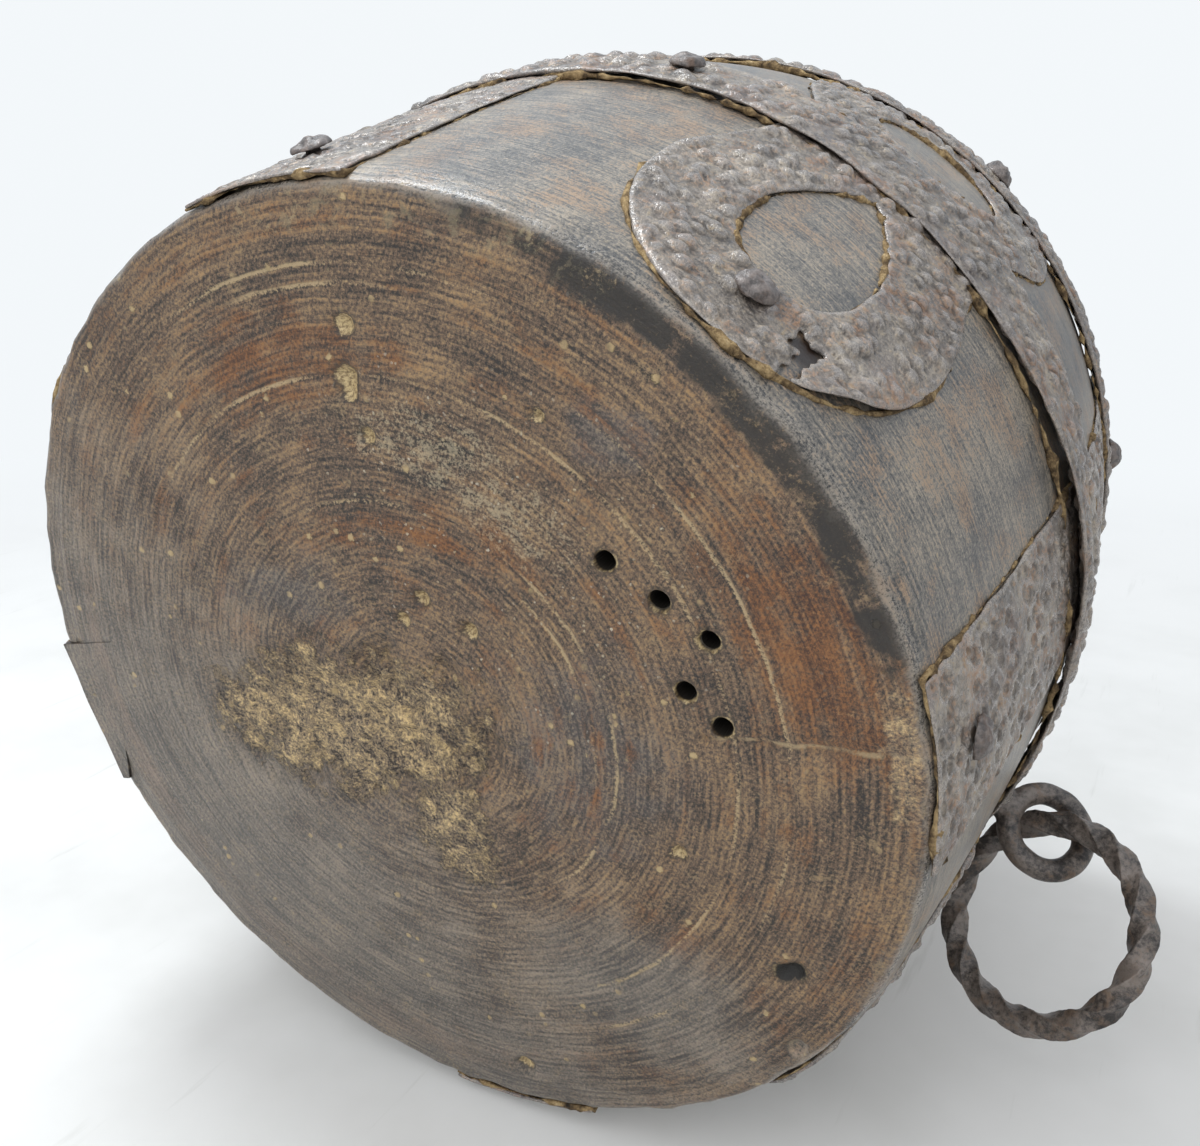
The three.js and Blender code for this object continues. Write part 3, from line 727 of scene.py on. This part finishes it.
# Hammered sheet iron for the straps, lobes and hoops: beaten by hand, so dented all over.
# It has a dark patina with rust and dust and is worn pale on the high spots, and its hollows are darkened
# with painted shade.
iron_finish, place, surface = new_finish("hammered_iron")
patches = place.noise(12.0, 4.0, 0.66)
pitting = place.noise(0.7, 2.0, 0.8)
grime = place.noise(3.2, 4.0, 0.72, 8.0)
hollow = place.node("Attribute", {"attribute_name": "hollow"}, None, 2)
tone = patches * 0.9 + pitting * 1.1 + grime * 0.6 - 0.8
iron = tone.ramp(
    (0.20, (0.050, 0.042, 0.037)),
    (0.50, (0.184, 0.156, 0.129)),
    (0.80, (0.380, 0.327, 0.266)),
)
rust = (place.noise(7.0, 4.0, 0.70, 5.0) + pitting.sway(0.6)).rise(0.48, 0.72)
rust_color = tone.rise(0.2, 0.8).blend((0.110, 0.056, 0.032), (0.320, 0.182, 0.105))
iron = (rust * 0.8).blend(iron, rust_color)
purple = place.noise(11.0, 2.0, 0.6, 9.0).rise(0.48, 0.66)
iron = (purple * 0.25).blend(iron, (0.150, 0.122, 0.124))
dust = (grime + pitting.sway(0.6)).rise(0.58, 0.74)
iron = (dust * 0.5).blend(iron, (0.32, 0.255, 0.165))
worn = hollow.rise(0.44, 0.20)
iron = (worn * 0.30).blend(iron, (0.34, 0.32, 0.31))
# Painted shade: the hollows of the hammer marks are darkened almost to black.
iron = (hollow.rise(0.54, 0.90) * 0.6).blend(iron, (0.040, 0.030, 0.023))
feed(surface, "Base Color", iron)
feed(surface, "Metallic", 0.2)
feed(surface, "Roughness", 0.40 + rust * 0.16 + dust * 0.25 + pitting.sway(0.6) - worn * 0.14)
emboss(surface, pitting * 0.22 + grime * 0.40)

SHEET, SEAT_GAP = 1.2, 0.25
SHEET_SEAT, SHEET_GAUGE = 0.1, 0.6
BAND_LOW, BAND_WIDTH, RIM_WIDTH, RIM_INSET, TUCK = 62.0, 18.0, 19.0, 1.0, 6.0
BAND_HIGH = BAND_LOW + BAND_WIDTH
RIM_HIGH = HEIGHT - RIM_INSET
RIM_LOW = RIM_HIGH - RIM_WIDTH
RIM_NAIL_HEIGHT = RIM_LOW + RIM_WIDTH / 2
LAYER = SEAT_GAP + SHEET
# Sheets are drawn flat on the plane at this X, in front of the wall.
DRAWING_X = 110.0

# The turned wall without its base, mouth and hollow, to lay the sheets on.
form_profile = []
for z in range(-3, 142, 3):
    drawn_in = 2.0 if z < 0 else 0.0
    form_profile.append((wall_radius(max(z, 0)) - drawn_in, z))
wall_form = spun("wall_form", form_profile, 240)


# Selects these pieces alone, with the last of them active.
def pick(*pieces):
    bpy.ops.object.select_all(action="DESELECT")
    for piece in pieces:
        piece.select_set(True)
    bpy.context.view_layer.objects.active = pieces[-1]


# Lays a flat drawing, which faces +X, on the wall at an azimuth.
def lay_sheet(piece, azimuth, proud):
    pick(piece)
    piece.rotation_euler.z = math.radians(azimuth)
    wrap = piece.modifiers.new("wrap", "SHRINKWRAP")
    wrap.target = wall_form
    wrap.wrap_method = "PROJECT"
    wrap.wrap_mode = "ABOVE_SURFACE"
    wrap.offset = proud * mm
    wrap.use_project_x = True
    wrap.use_positive_direction = False
    wrap.use_negative_direction = True
    apply_modifiers(piece)
    bpy.ops.object.transform_apply()


# Notes on each point of a beaten sheet how hollow it is, from 0 on a high spot to 1 in a crease.
def mark_hollows(piece):
    bend = [0.0] * len(piece.data.vertices)
    for edge in piece.data.edges:
        first, second = (piece.data.vertices[v] for v in edge.vertices)
        step = (second.co - first.co).normalized()
        bend[first.index] += step.dot(first.normal)
        bend[second.index] -= step.dot(second.normal)
    hollow = piece.data.attributes.new("hollow", "FLOAT", "POINT")
    hollow.data.foreach_set("value", [max(0.0, min(1.0, 0.45 + 0.55 * value)) for value in bend])


# Gives a laid sheet its thickness and hammer marks: bumps, or hollows where raised is below 0.
# The blows leave its cut edges as they are, so that they lie close on the wood.
def beat_sheet(piece, raised, size):
    pick(piece)
    uses = {}
    for face in piece.data.polygons:
        for key in face.edge_keys:
            uses[key] = uses.get(key, 0) + 1
    cut = {index for key, count in uses.items() if count == 1 for index in key}
    beaten = piece.vertex_groups.new(name="beaten")
    beaten.add([index for index in range(len(piece.data.vertices)) if index not in cut], 1.0, "REPLACE")
    gauge = piece.modifiers.new("gauge", "SOLIDIFY")
    gauge.thickness = SHEET_GAUGE * mm
    gauge.offset = 1.0
    smooth = piece.modifiers.new("soften", "SUBSURF")
    smooth.levels = 1
    smooth.render_levels = 1
    ruffle(piece, "VORONOI", size, raised, 0.0, "beaten")
    blows = piece.modifiers[-1].texture
    blows.distance_metric = "DISTANCE_SQUARED"
    blows.use_color_ramp = True
    blows.color_ramp.interpolation = "EASE"
    for stop, position, level in zip(blows.color_ramp.elements, (0.0, 0.32), (1.0, 0.0)):
        stop.position = position
        stop.color = (level, level, level, 1.0)
    ruffle(piece, "CLOUDS", 1.7, 0.45, 0.5, "beaten")
    ruffle(piece, "CLOUDS", 11.0, 0.5, 0.45)
    apply_modifiers(piece)
    mark_hollows(piece)
    bpy.ops.object.shade_smooth()
    piece.data.materials.append(iron_finish)
    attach(piece, "measure")


# How far an edge of a piece reaches along an axis.
def edge_reach(piece, edge, axis):
    first, second = (piece.data.vertices[v].co[axis] for v in edge.vertices)
    return abs(first - second)


# Cuts an open tube of unit depth into rows along its length.
def cut_rows(piece, cuts):
    edit_some(piece, "EDGE", lambda edge: edge_reach(piece, edge, 2) > 0.5)
    bpy.ops.mesh.subdivide_edgering(number_cuts=cuts, interpolation="LINEAR")
    end_edit()


# Straps: four plain strips of sheet, nailed over the wood from the base edge to the rim.
# The last has its toe turned under the base and let in flush.
STRAP_FOOT, STRAP_CELL, STRAP_BEAD = 1.0, 1.3, 0.38


# A flat grid in front of the wall, from low to high and as wide as given, facing +X.
def flat_grid(name, width, low, high, cell):
    bpy.ops.mesh.primitive_grid_add(
        x_subdivisions=max(2, round(width / cell)),
        y_subdivisions=max(2, round((high - low) / cell)),
        size=1.0,
    )
    piece = named(name)
    for vertex in piece.data.vertices:
        across, up, _ = vertex.co
        vertex.co = (DRAWING_X * mm, across * width * mm, (low + (up + 0.5) * (high - low)) * mm)
    return piece


# Each seam: a loop drawn along the edge of a sheet, its azimuth, and how thick the earth in it is.
seams = []
half = STRAP_WIDTH / 2
low, high = STRAP_FOOT + 0.5, RIM_LOW
rows = [low + (high - low) * k / 80 for k in range(81)]
ends = [-half + STRAP_WIDTH * k / 20 for k in range(1, 20)]
strap_edge = [(-half, z) for z in rows]
strap_edge += [(across, high) for across in ends]
strap_edge += [(half, z) for z in reversed(rows)]
strap_edge += [(across, low) for across in reversed(ends)]
for i, azimuth in enumerate(STRAP_AZIMUTHS):
    strap = flat_grid(f"hammered_strap_{i + 1}", STRAP_WIDTH, STRAP_FOOT, RIM_HIGH - SHEET, STRAP_CELL)
    ruffle(strap, "CLOUDS", 6.0, 1.5, 0.5, direction="Y", depth=2)
    apply_modifiers(strap)
    seams.append((strap_edge, azimuth, STRAP_BEAD))
    lay_sheet(strap, azimuth, SHEET_SEAT)
    beat_sheet(strap, raised=-0.75, size=3.2)
    if i == len(STRAP_AZIMUTHS) - 1:
        toe = toe_block(0.0, low=0.12, high=1.3)
        edit_all()
        bpy.ops.mesh.subdivide(number_cuts=14)
        bpy.ops.mesh.bevel(offset=0.08 * mm, segments=1)
        end_edit()
        toe.data.materials.append(wood_finish)
        pick(toe, strap)
        bpy.ops.object.join()
    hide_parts(f"strap_{i + 1}")

# Pierced lobes: shield-shaped plates with a teardrop opening, hung below the belly band and set above it.
# Each is cut from sheet and beaten to the swell of the wall, its root under the band.
LOBE_AZIMUTHS = (-55.5, 36.0, 121.0, -150.0)
LOBE_ROOT = 40.0
LOWER_FOOT, LOWER_HALF, LOWER_HOLE_GAP, LOWER_HOLE_FOOT, LOWER_HOLE_HALF = 2.2, 25.0, 3.4, 18.9, 10.1
UPPER_HALF, UPPER_HOLE_GAP, UPPER_HOLE_TOP, UPPER_HOLE_HALF = 27.5, 4.0, 108.0, 13.0
LOBE_BEAD, HOLE_BEAD = 0.36, 0.52
CURVE_POINTS = 26
LOBE_ROWS = 11
NOTCH_ACROSS, NOTCH_HEIGHT, SLIT_ACROSS, TONGUE_LIFT = 9.6, 13.4, 10.4, 2.0


# Points along a chain of cubic curves up the right side, closed by its mirror image on the left.
def mirrored_curves(right):
    left = [tuple((-x, y) for x, y in reversed(curve)) for curve in reversed(right)]
    points = []
    for a, b, c, d in (*right, *left):
        for i in range(CURVE_POINTS):
            t = i / CURVE_POINTS
            w = ((1 - t) ** 3, 3 * t * (1 - t) ** 2, 3 * t * t * (1 - t), t**3)
            across = w[0] * a[0] + w[1] * b[0] + w[2] * c[0] + w[3] * d[0]
            up = w[0] * a[1] + w[1] * b[1] + w[2] * c[1] + w[3] * d[1]
            points.append((across, up))
    return points


def lobe_outline(root, tip, half):
    span = tip - root
    neck = LOBE_ROOT / 2
    wide = root + span * 0.48
    return mirrored_curves(
        (
            ((0, root), (neck / 3, root), (neck * 2 / 3, root), (neck, root)),
            ((neck, root), (neck, root + span * 0.2), (half, wide - span * 0.18), (half, wide)),
            ((half, wide), (half, wide + span * 0.34), (half * 0.5, tip), (0, tip)),
        )
    )


def lobe_opening(point, end, half):
    span = end - point
    wide = point + span * 0.6
    first = (half * 0.16, point + span * 0.03)
    second = (half * 0.3, point + span * 0.07)
    shoulder = (half * 0.42, point + span * 0.13)
    return mirrored_curves(
        (
            ((0, point), first, second, shoulder),
            (shoulder, (half * 0.8, point + span * 0.28), (half, wide - span * 0.15), (half, wide)),
            ((half, wide), (half, end - span * 0.1), (half * 0.6, end), (0, end)),
        )
    )


# A tube of the two outlines' count, cut into rows, then flattened so that its ends are the outlines.
def pierced_sheet(name, outline, opening):
    count = len(outline)
    bpy.ops.mesh.primitive_cylinder_add(vertices=count, radius=1.0, depth=1.0, end_fill_type="NOTHING")
    piece = named(name)
    cut_rows(piece, LOBE_ROWS)
    for vertex in piece.data.vertices:
        column = round(math.atan2(vertex.co.x, vertex.co.y) / math.tau * count) % count
        inward = vertex.co.z + 0.5
        across = outline[column][0] * (1 - inward) + opening[column][0] * inward
        up = outline[column][1] * (1 - inward) + opening[column][1] * inward
        vertex.co = (DRAWING_X * mm, across * mm, up * mm)
    edit_all()
    bpy.ops.mesh.normals_make_consistent(inside=False)
    end_edit()
    if sum(face.normal.x for face in piece.data.polygons) < 0:
        edit_all()
        bpy.ops.mesh.flip_normals()
        end_edit()
    return piece


# Whether a face of the torn lobe has rusted away: a notch by its nail, and a slit from there to its edge.
def rusted_through(face):
    across, up = face.center.y / mm, face.center.z / mm
    notch = abs(across - NOTCH_ACROSS) < 1.9 and abs(up - NOTCH_HEIGHT) < 1.6
    slit = abs(across - SLIT_ACROSS) < 0.75 and up < TEAR_HEIGHT
    return notch or slit


# Springs the tongue beside the tear outwards, most at its lower corner.
def spring_tongue(lobe, azimuth):
    for vertex in lobe.data.vertices:
        across = math.degrees(math.atan2(vertex.co.y, vertex.co.x)) - azimuth
        up = vertex.co.z / mm
        beside = max(0.0, min(1.0, (across - 6.8) / 6.0))
        low_down = max(0.0, min(1.0, (34.0 - up) / 24.0))
        sprung = beside * low_down
        out = Vector((vertex.co.x, vertex.co.y, 0.0)).normalized()
        vertex.co += out * sprung * sprung * TONGUE_LIFT * mm


for i, azimuth in enumerate(LOBE_AZIMUTHS):
    for level in ("lower", "upper"):
        if level == "lower":
            outline = lobe_outline(BAND_LOW + TUCK, LOWER_FOOT, LOWER_HALF)
            hole = lobe_opening(BAND_LOW - LOWER_HOLE_GAP, LOWER_HOLE_FOOT, LOWER_HOLE_HALF)
        else:
            outline = lobe_outline(BAND_HIGH - TUCK, RIM_NAIL_HEIGHT + TUCK, UPPER_HALF)
            hole = lobe_opening(BAND_HIGH + UPPER_HOLE_GAP, UPPER_HOLE_TOP, UPPER_HOLE_HALF)
        lobe = pierced_sheet(f"pierced_{level}_lobe_{i + 1}", outline, hole)
        seams.append((outline, azimuth, LOBE_BEAD))
        seams.append((hole, azimuth, HOLE_BEAD))
        ruffle(lobe, "CLOUDS", 7.0, 1.2, 0.5, direction="Y", depth=2)
        apply_modifiers(lobe)
        torn = level == "lower" and i == 0
        if torn:
            edit_some(lobe, "FACE", rusted_through)
            bpy.ops.mesh.delete(type="FACE")
            end_edit()
        lay_sheet(lobe, azimuth, SHEET_SEAT)
        if torn:
            spring_tongue(lobe, azimuth)
        beat_sheet(lobe, raised=0.7, size=3.0)
        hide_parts(f"{level}_lobe_{i + 1}")

# Hoops: the belly band and the rim hoop, closed rings of sheet driven on over the straps and lobes.
# The band stands off the wood along part of its lower edge.
HOOP_STEPS, HOOP_ROWS = 440, 14
HOOP_SINK = 0.3
SPRUNG_AZIMUTH, SPRUNG_SPREAD = -16.0, 17.0


def hoop(name, low, high, node, sprung, wave):
    bpy.ops.mesh.primitive_cylinder_add(vertices=HOOP_STEPS, radius=0.1, depth=1.0, end_fill_type="NOTHING")
    piece = named(name)
    cut_rows(piece, HOOP_ROWS)
    for vertex in piece.data.vertices:
        fraction = vertex.co.z + 0.5
        z = low + fraction * (high - low)
        azimuth = math.degrees(math.atan2(vertex.co.y, vertex.co.x))
        near = math.exp(-(((azimuth - SPRUNG_AZIMUTH) / SPRUNG_SPREAD) ** 2))
        lift = sprung * (1 - fraction) ** 2 * near
        out = Vector((vertex.co.x, vertex.co.y, 0.0)).normalized()
        out = out * (wall_radius(z) + LAYER - HOOP_SINK + lift)
        vertex.co = Vector((out.x, out.y, z)) * mm
    ruffle(piece, "CLOUDS", 9.0, wave, 0.5, direction="Z", depth=2)
    apply_modifiers(piece)
    beat_sheet(piece, raised=0.75, size=3.5)
    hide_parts(node)


hoop("belly_hoop", BAND_LOW, BAND_HIGH, "belly_band", sprung=1.9, wave=2.2)
hoop("mouth_hoop", RIM_LOW, RIM_HIGH, "rim_hoop", sprung=0.0, wave=1.2)

# Earth caked in the seams: ochre dust and grain packed along the edges of straps, lobes and hoops.
# It has built up unevenly, so each bead swells, thins and breaks off.
earth_finish, place, surface = new_finish("caked_earth")
clods = place.noise(1.4, 5.0, 0.75)
lumps = place.noise(5.0, 4.0, 0.6, 2.0)
crumbs = (clods * 0.6 + lumps * 0.4).ramp(
    (0.36, (0.026, 0.020, 0.015)),
    (0.46, (0.125, 0.084, 0.045)),
    (0.56, (0.330, 0.235, 0.120)),
    (0.70, (0.540, 0.425, 0.250)),
)
feed(surface, "Base Color", crumbs)
feed(surface, "Roughness", 0.95)
feed(surface, "Specular IOR Level", 0.15)
emboss(surface, clods * 0.7)
BEAD_SWELL = 2.0
HOOP_BEAD, HOOP_BEAD_PROUD = 0.5, 0.6


# Turns the selected loop into a bead whose thickness wanders along it.
def bead(radius, seed):
    bpy.ops.object.convert(target="CURVE")
    loop = bpy.context.active_object
    loop.data.bevel_depth = radius * mm
    loop.data.bevel_resolution = 1
    for point in loop.data.splines[0].points:
        along = Vector(point.co[:3]) / mm + Vector((seed * 9.0, 0.0, 0.0))
        grain = noise.noise(along * 0.10) * 1.2 + noise.noise(along * 0.45) * 0.8
        point.radius = max(0.05, 0.6 + BEAD_SWELL * grain)
    bpy.ops.object.convert(target="MESH")
    return bpy.context.active_object


beads = []
for k, (loop, azimuth, radius) in enumerate(seams):
    bpy.ops.mesh.primitive_circle_add(vertices=len(loop), radius=1.0)
    piece = bpy.context.active_object
    for vertex, (across, up) in zip(piece.data.vertices, loop):
        vertex.co = (DRAWING_X * mm, across * mm, up * mm)
    lay_sheet(piece, azimuth, 0.0)
    beads.append(bead(radius, k))
for k, z in enumerate((BAND_LOW, BAND_HIGH, RIM_LOW)):
    radius = wall_radius(z) + HOOP_BEAD_PROUD
    bpy.ops.mesh.primitive_circle_add(vertices=400, radius=radius * mm, location=(0.0, 0.0, z * mm))
    bpy.ops.object.transform_apply()
    beads.append(bead(HOOP_BEAD, 20 + k))
earth = beads[0]
pick(*beads, earth)
bpy.ops.object.join()
earth.name = "seam_earth"
ruffle(earth, "CLOUDS", 0.9, 1.1, 0.5, depth=2)
apply_modifiers(earth)
bpy.ops.object.shade_smooth()
earth.data.materials.append(earth_finish)
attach(earth, "measure")

# Nails: forged iron, with round domed heads beaten uneven on short round shanks.
# Each is driven square through the sheet into the wood.
NAIL_HEAD, NAIL_SHANK, NAIL_LENGTH, NAIL_SINK = 6.2, 1.1, 3.0, 1.0
FOOT_NAIL_HEIGHT = 14.0
LOBE_RIM_NAIL_AZIMUTHS = (-50.5, 36.0, 121.0, -150.0)
BAND_NAIL_AZIMUTHS = (-82.0, 62.0, 188.0)
nail_finish, place, surface = new_finish("forged_nail_iron")
pitting = place.noise(1.2, 4.0, 0.7)
head = pitting.rise(0.3, 0.7).blend((0.050, 0.043, 0.041), (0.190, 0.160, 0.145))
rust = place.noise(3.0, 4.0, 0.65, 3.0).rise(0.5, 0.7)
feed(surface, "Base Color", (rust * 0.5).blend(head, (0.15, 0.085, 0.05)))
feed(surface, "Metallic", 0.12)
feed(surface, "Roughness", 0.40 + rust * 0.25)
emboss(surface, pitting * 0.25)


def nail_place(azimuth, z, layers):
    turn = math.radians(azimuth)
    slope = wall_radius(z + 0.5) - wall_radius(z - 0.5)
    out = Vector((math.cos(turn), math.sin(turn), 0.0))
    square = Vector((out.x, out.y, -slope)).normalized()
    across = Vector((-math.sin(turn), math.cos(turn), 0.0))
    seat = out * wall_radius(z) + Vector((0.0, 0.0, z)) + square * (layers * LAYER - NAIL_SINK)
    return placed(seat * mm, across, square.cross(across), square)


# Each nail: its node, azimuth, height, the layers of sheet that it holds, and the rise of its head.
nails = []
for i, azimuth in enumerate(STRAP_AZIMUTHS):
    nails.append((f"strap_foot_nail_{i + 1}", azimuth, FOOT_NAIL_HEIGHT, 1, 1.5))
    nails.append((f"strap_rim_nail_{i + 1}", azimuth, RIM_NAIL_HEIGHT, 2, 2.4))
for i, azimuth in enumerate(LOBE_AZIMUTHS):
    nails.append((f"lobe_foot_nail_{i + 1}", azimuth, FOOT_NAIL_HEIGHT, 1, 1.6))
for i, azimuth in enumerate(LOBE_RIM_NAIL_AZIMUTHS):
    nails.append((f"lobe_rim_nail_{i + 1}", azimuth, RIM_NAIL_HEIGHT, 2, 2.4))
for i, azimuth in enumerate(BAND_NAIL_AZIMUTHS):
    nails.append((f"band_nail_{i + 1}", azimuth, BAND_LOW + BAND_WIDTH / 2, 2, 1.7))
for node, azimuth, z, layers, rise in nails:
    bpy.ops.mesh.primitive_uv_sphere_add(segments=28, ring_count=18, radius=NAIL_HEAD / 2 * mm)
    nail = named("forged_" + node)
    edit_all()
    bpy.ops.mesh.bisect(plane_co=(0, 0, 0), plane_no=(0, 0, 1), use_fill=True, clear_inner=True)
    bpy.ops.mesh.select_all(action="SELECT")
    bpy.ops.transform.resize(value=(1.0, 1.0, rise / (NAIL_HEAD / 2)))
    edit_some(nail, "FACE", lambda face: face.normal.z < -0.9)
    bpy.ops.mesh.inset(thickness=(NAIL_HEAD / 2 - NAIL_SHANK) * mm)
    bpy.ops.mesh.extrude_region_move(TRANSFORM_OT_translate={"value": (0, 0, -NAIL_LENGTH * mm)})
    end_edit()
    nail.matrix_world = nail_place(azimuth, z, layers)
    bpy.ops.object.transform_apply()
    ruffle(nail, "CLOUDS", 2.0, 1.3, 0.55)
    apply_modifiers(nail)
    bpy.ops.object.shade_smooth()
    nail.data.materials.append(nail_finish)
    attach(nail, "measure")
    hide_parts(node)

# Eye: a round iron bar bent into a loop, with its two legs side by side as one shank.
# They are driven through band and wall and turned over inside.
EYE_AZIMUTH, EYE_HEIGHT, EYE_STAND, EYE_TWIST, EYE_WIRE = 25.3, 72.5, 9.5, 60.0, 4.4
EYE_SHANK_WIDTH, EYE_LEG, EYE_LEG_LIFT = 6.6, 13.0, 1.2
EYE_LEG_THICK, EYE_LEG_TIP, EYE_LEG_FLAT, EYE_LEG_SINK = 2.0, 0.5, 0.62, 1.3
RING_RADIUS, RING_BAR, RING_CHAMFER, RING_PLAY, RING_LEAN = 18.2, 4.1, 0.35, 0.6, 39.7
turn = math.radians(EYE_AZIMUTH)
twist = math.radians(EYE_TWIST)
lean = math.radians(RING_LEAN)
up = Vector((0.0, 0.0, 1.0))
eye_out = Vector((math.cos(turn), math.sin(turn), 0.0))
eye_axis = Vector((-math.sin(turn), math.cos(turn), 0.0)) * math.sin(twist) + up * math.cos(twist)
eye_across = eye_axis.cross(eye_out)
eye_reach = wall_radius(EYE_HEIGHT) + 2 * LAYER + EYE_STAND
eye_centre = eye_out * eye_reach + up * EYE_HEIGHT
bar_half = (RING_BAR - RING_CHAMFER) / math.sqrt(2) + RING_CHAMFER / 2
loop_radius = (bar_half + EYE_WIRE / 2 + RING_PLAY) / math.cos(lean)
leg_face = wall_radius(EYE_HEIGHT) - WALL - EYE_LEG_LIFT

forged_finish, place, surface = new_finish("forged_ring_iron")
patches = place.noise(7.0, 3.0, 0.65)
pitting = place.noise(1.1, 3.0, 0.75)
iron = (patches + pitting - 0.5).rise(0.25, 0.75).blend((0.032, 0.028, 0.026), (0.200, 0.168, 0.146))
rust = (place.noise(4.0, 4.0, 0.65, 7.0) + pitting.sway(0.4)).rise(0.50, 0.70)
feed(surface, "Base Color", (rust * 0.55).blend(iron, (0.170, 0.105, 0.062)))
feed(surface, "Metallic", 0.3)
feed(surface, "Roughness", 0.45 + rust * 0.2 + pitting.sway(0.3))
emboss(surface, pitting * 0.22)

bpy.ops.mesh.primitive_torus_add(
    major_segments=72,
    minor_segments=20,
    major_radius=loop_radius * mm,
    minor_radius=EYE_WIRE / 2 * mm,
)
eye = named("forged_eye")
eye.matrix_world = placed(eye_centre * mm, eye_out, eye_across, eye_axis)
bpy.ops.object.transform_apply()
shank_from = leg_face - EYE_LEG_SINK
shank_to = eye_reach - loop_radius
shank_middle = (eye_out * (shank_from + shank_to) / 2 + up * EYE_HEIGHT) * mm
bpy.ops.mesh.primitive_cylinder_add(vertices=24, radius=EYE_WIRE / 2 * mm, depth=(shank_to - shank_from) * mm)
shank = bpy.context.active_object
widened = Matrix.Diagonal((EYE_SHANK_WIDTH / EYE_WIRE, 1.0, 1.0, 1.0))
shank.matrix_world = placed(shank_middle, eye_across, eye_axis, eye_out) @ widened
bpy.ops.object.transform_apply()
legs = []
flattened = Matrix.Diagonal((1.0, EYE_LEG_FLAT, 1.0, 1.0))
for way in (1.0, -1.0):
    leg_middle = (eye_out * shank_from + up * EYE_HEIGHT + eye_across * way * (EYE_LEG / 2)) * mm
    bpy.ops.mesh.primitive_cone_add(
        vertices=20, radius1=EYE_LEG_THICK * mm, radius2=EYE_LEG_TIP * mm, depth=EYE_LEG * mm
    )
    leg = bpy.context.active_object
    leg.matrix_world = placed(leg_middle, eye_axis * way, -eye_out, eye_across * way) @ flattened
    bpy.ops.object.transform_apply()
    legs.append(leg)
pick(shank, *legs, eye)
bpy.ops.object.join()
fuse = eye.modifiers.new("forge", "REMESH")
fuse.mode = "VOXEL"
fuse.voxel_size = 0.4 * mm
blur = eye.modifiers.new("blur", "SMOOTH")
blur.iterations = 4
ruffle(eye, "CLOUDS", 3.5, 0.3, 0.6)
apply_modifiers(eye)
bpy.ops.object.shade_smooth()
eye.data.materials.append(forged_finish)
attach(eye, "measure")
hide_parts("eye_staple")

# Ring: square iron bar twisted hot, bent round and closed through the eye.
# It hangs loose there, and it is the one piece that moves.
RING_TWISTS, RING_TURN, RING_ROLL, RING_OUT, RING_SIDE = 4, 158.4, -8.0, -0.7, -1.6
RING_ARRIS, RING_CUTS = 0.55, 255
turn = math.radians(RING_TURN)
roll = math.radians(RING_ROLL)
run = eye_axis * math.cos(lean) + (eye_out * math.cos(turn) + eye_across * math.sin(turn)) * math.sin(lean)
side = run.cross(eye_axis).normalized()
inward = side * math.cos(roll) + run.cross(side) * math.sin(roll)
ring_centre = eye_centre + eye_out * RING_OUT + eye_across * RING_SIDE + inward * RING_RADIUS
bpy.ops.mesh.primitive_cube_add(size=1.0)
ring = named("twisted_ring")
edit_all()
bpy.ops.transform.resize(value=(math.tau * RING_RADIUS * mm, RING_BAR * mm, RING_BAR * mm))
edit_some(ring, "FACE", lambda face: abs(face.normal.x) > 0.9)
bpy.ops.mesh.delete(type="ONLY_FACE")


# Opens the bar for editing with the edges that run along it selected.
def edit_lengths():
    edit_some(ring, "EDGE", lambda edge: edge_reach(ring, edge, 0) > 0.01)


edit_lengths()
bpy.ops.mesh.bevel(offset=RING_ARRIS * mm, segments=3)
edit_lengths()
bpy.ops.mesh.subdivide_edgering(number_cuts=RING_CUTS, interpolation="LINEAR")
end_edit()
twisting = ring.modifiers.new("twist", "SIMPLE_DEFORM")
twisting.deform_method = "TWIST"
twisting.deform_axis = "X"
twisting.angle = RING_TWISTS * math.tau
bend = ring.modifiers.new("bend", "SIMPLE_DEFORM")
bend.deform_method = "BEND"
bend.deform_axis = "Z"
bend.angle = math.tau
apply_modifiers(ring)
edit_all()
bpy.ops.mesh.remove_doubles(threshold=2e-5)
bpy.ops.mesh.subdivide(number_cuts=1)
bpy.ops.transform.translate(value=(0.0, -RING_RADIUS * mm, 0.0))
bpy.ops.mesh.normals_make_consistent(inside=False)
end_edit()
ring.matrix_world = placed(ring_centre * mm, -inward, run, -inward.cross(run))
bpy.ops.object.transform_apply()
ruffle(ring, "CLOUDS", 2.6, 0.5, 0.6, depth=2)
apply_modifiers(ring)
bpy.ops.object.shade_smooth()
ring.data.materials.append(forged_finish)
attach(ring, "ring")
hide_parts("ring")

# The wall form was only there to lay the sheets on.
bpy.data.objects.remove(wall_form)
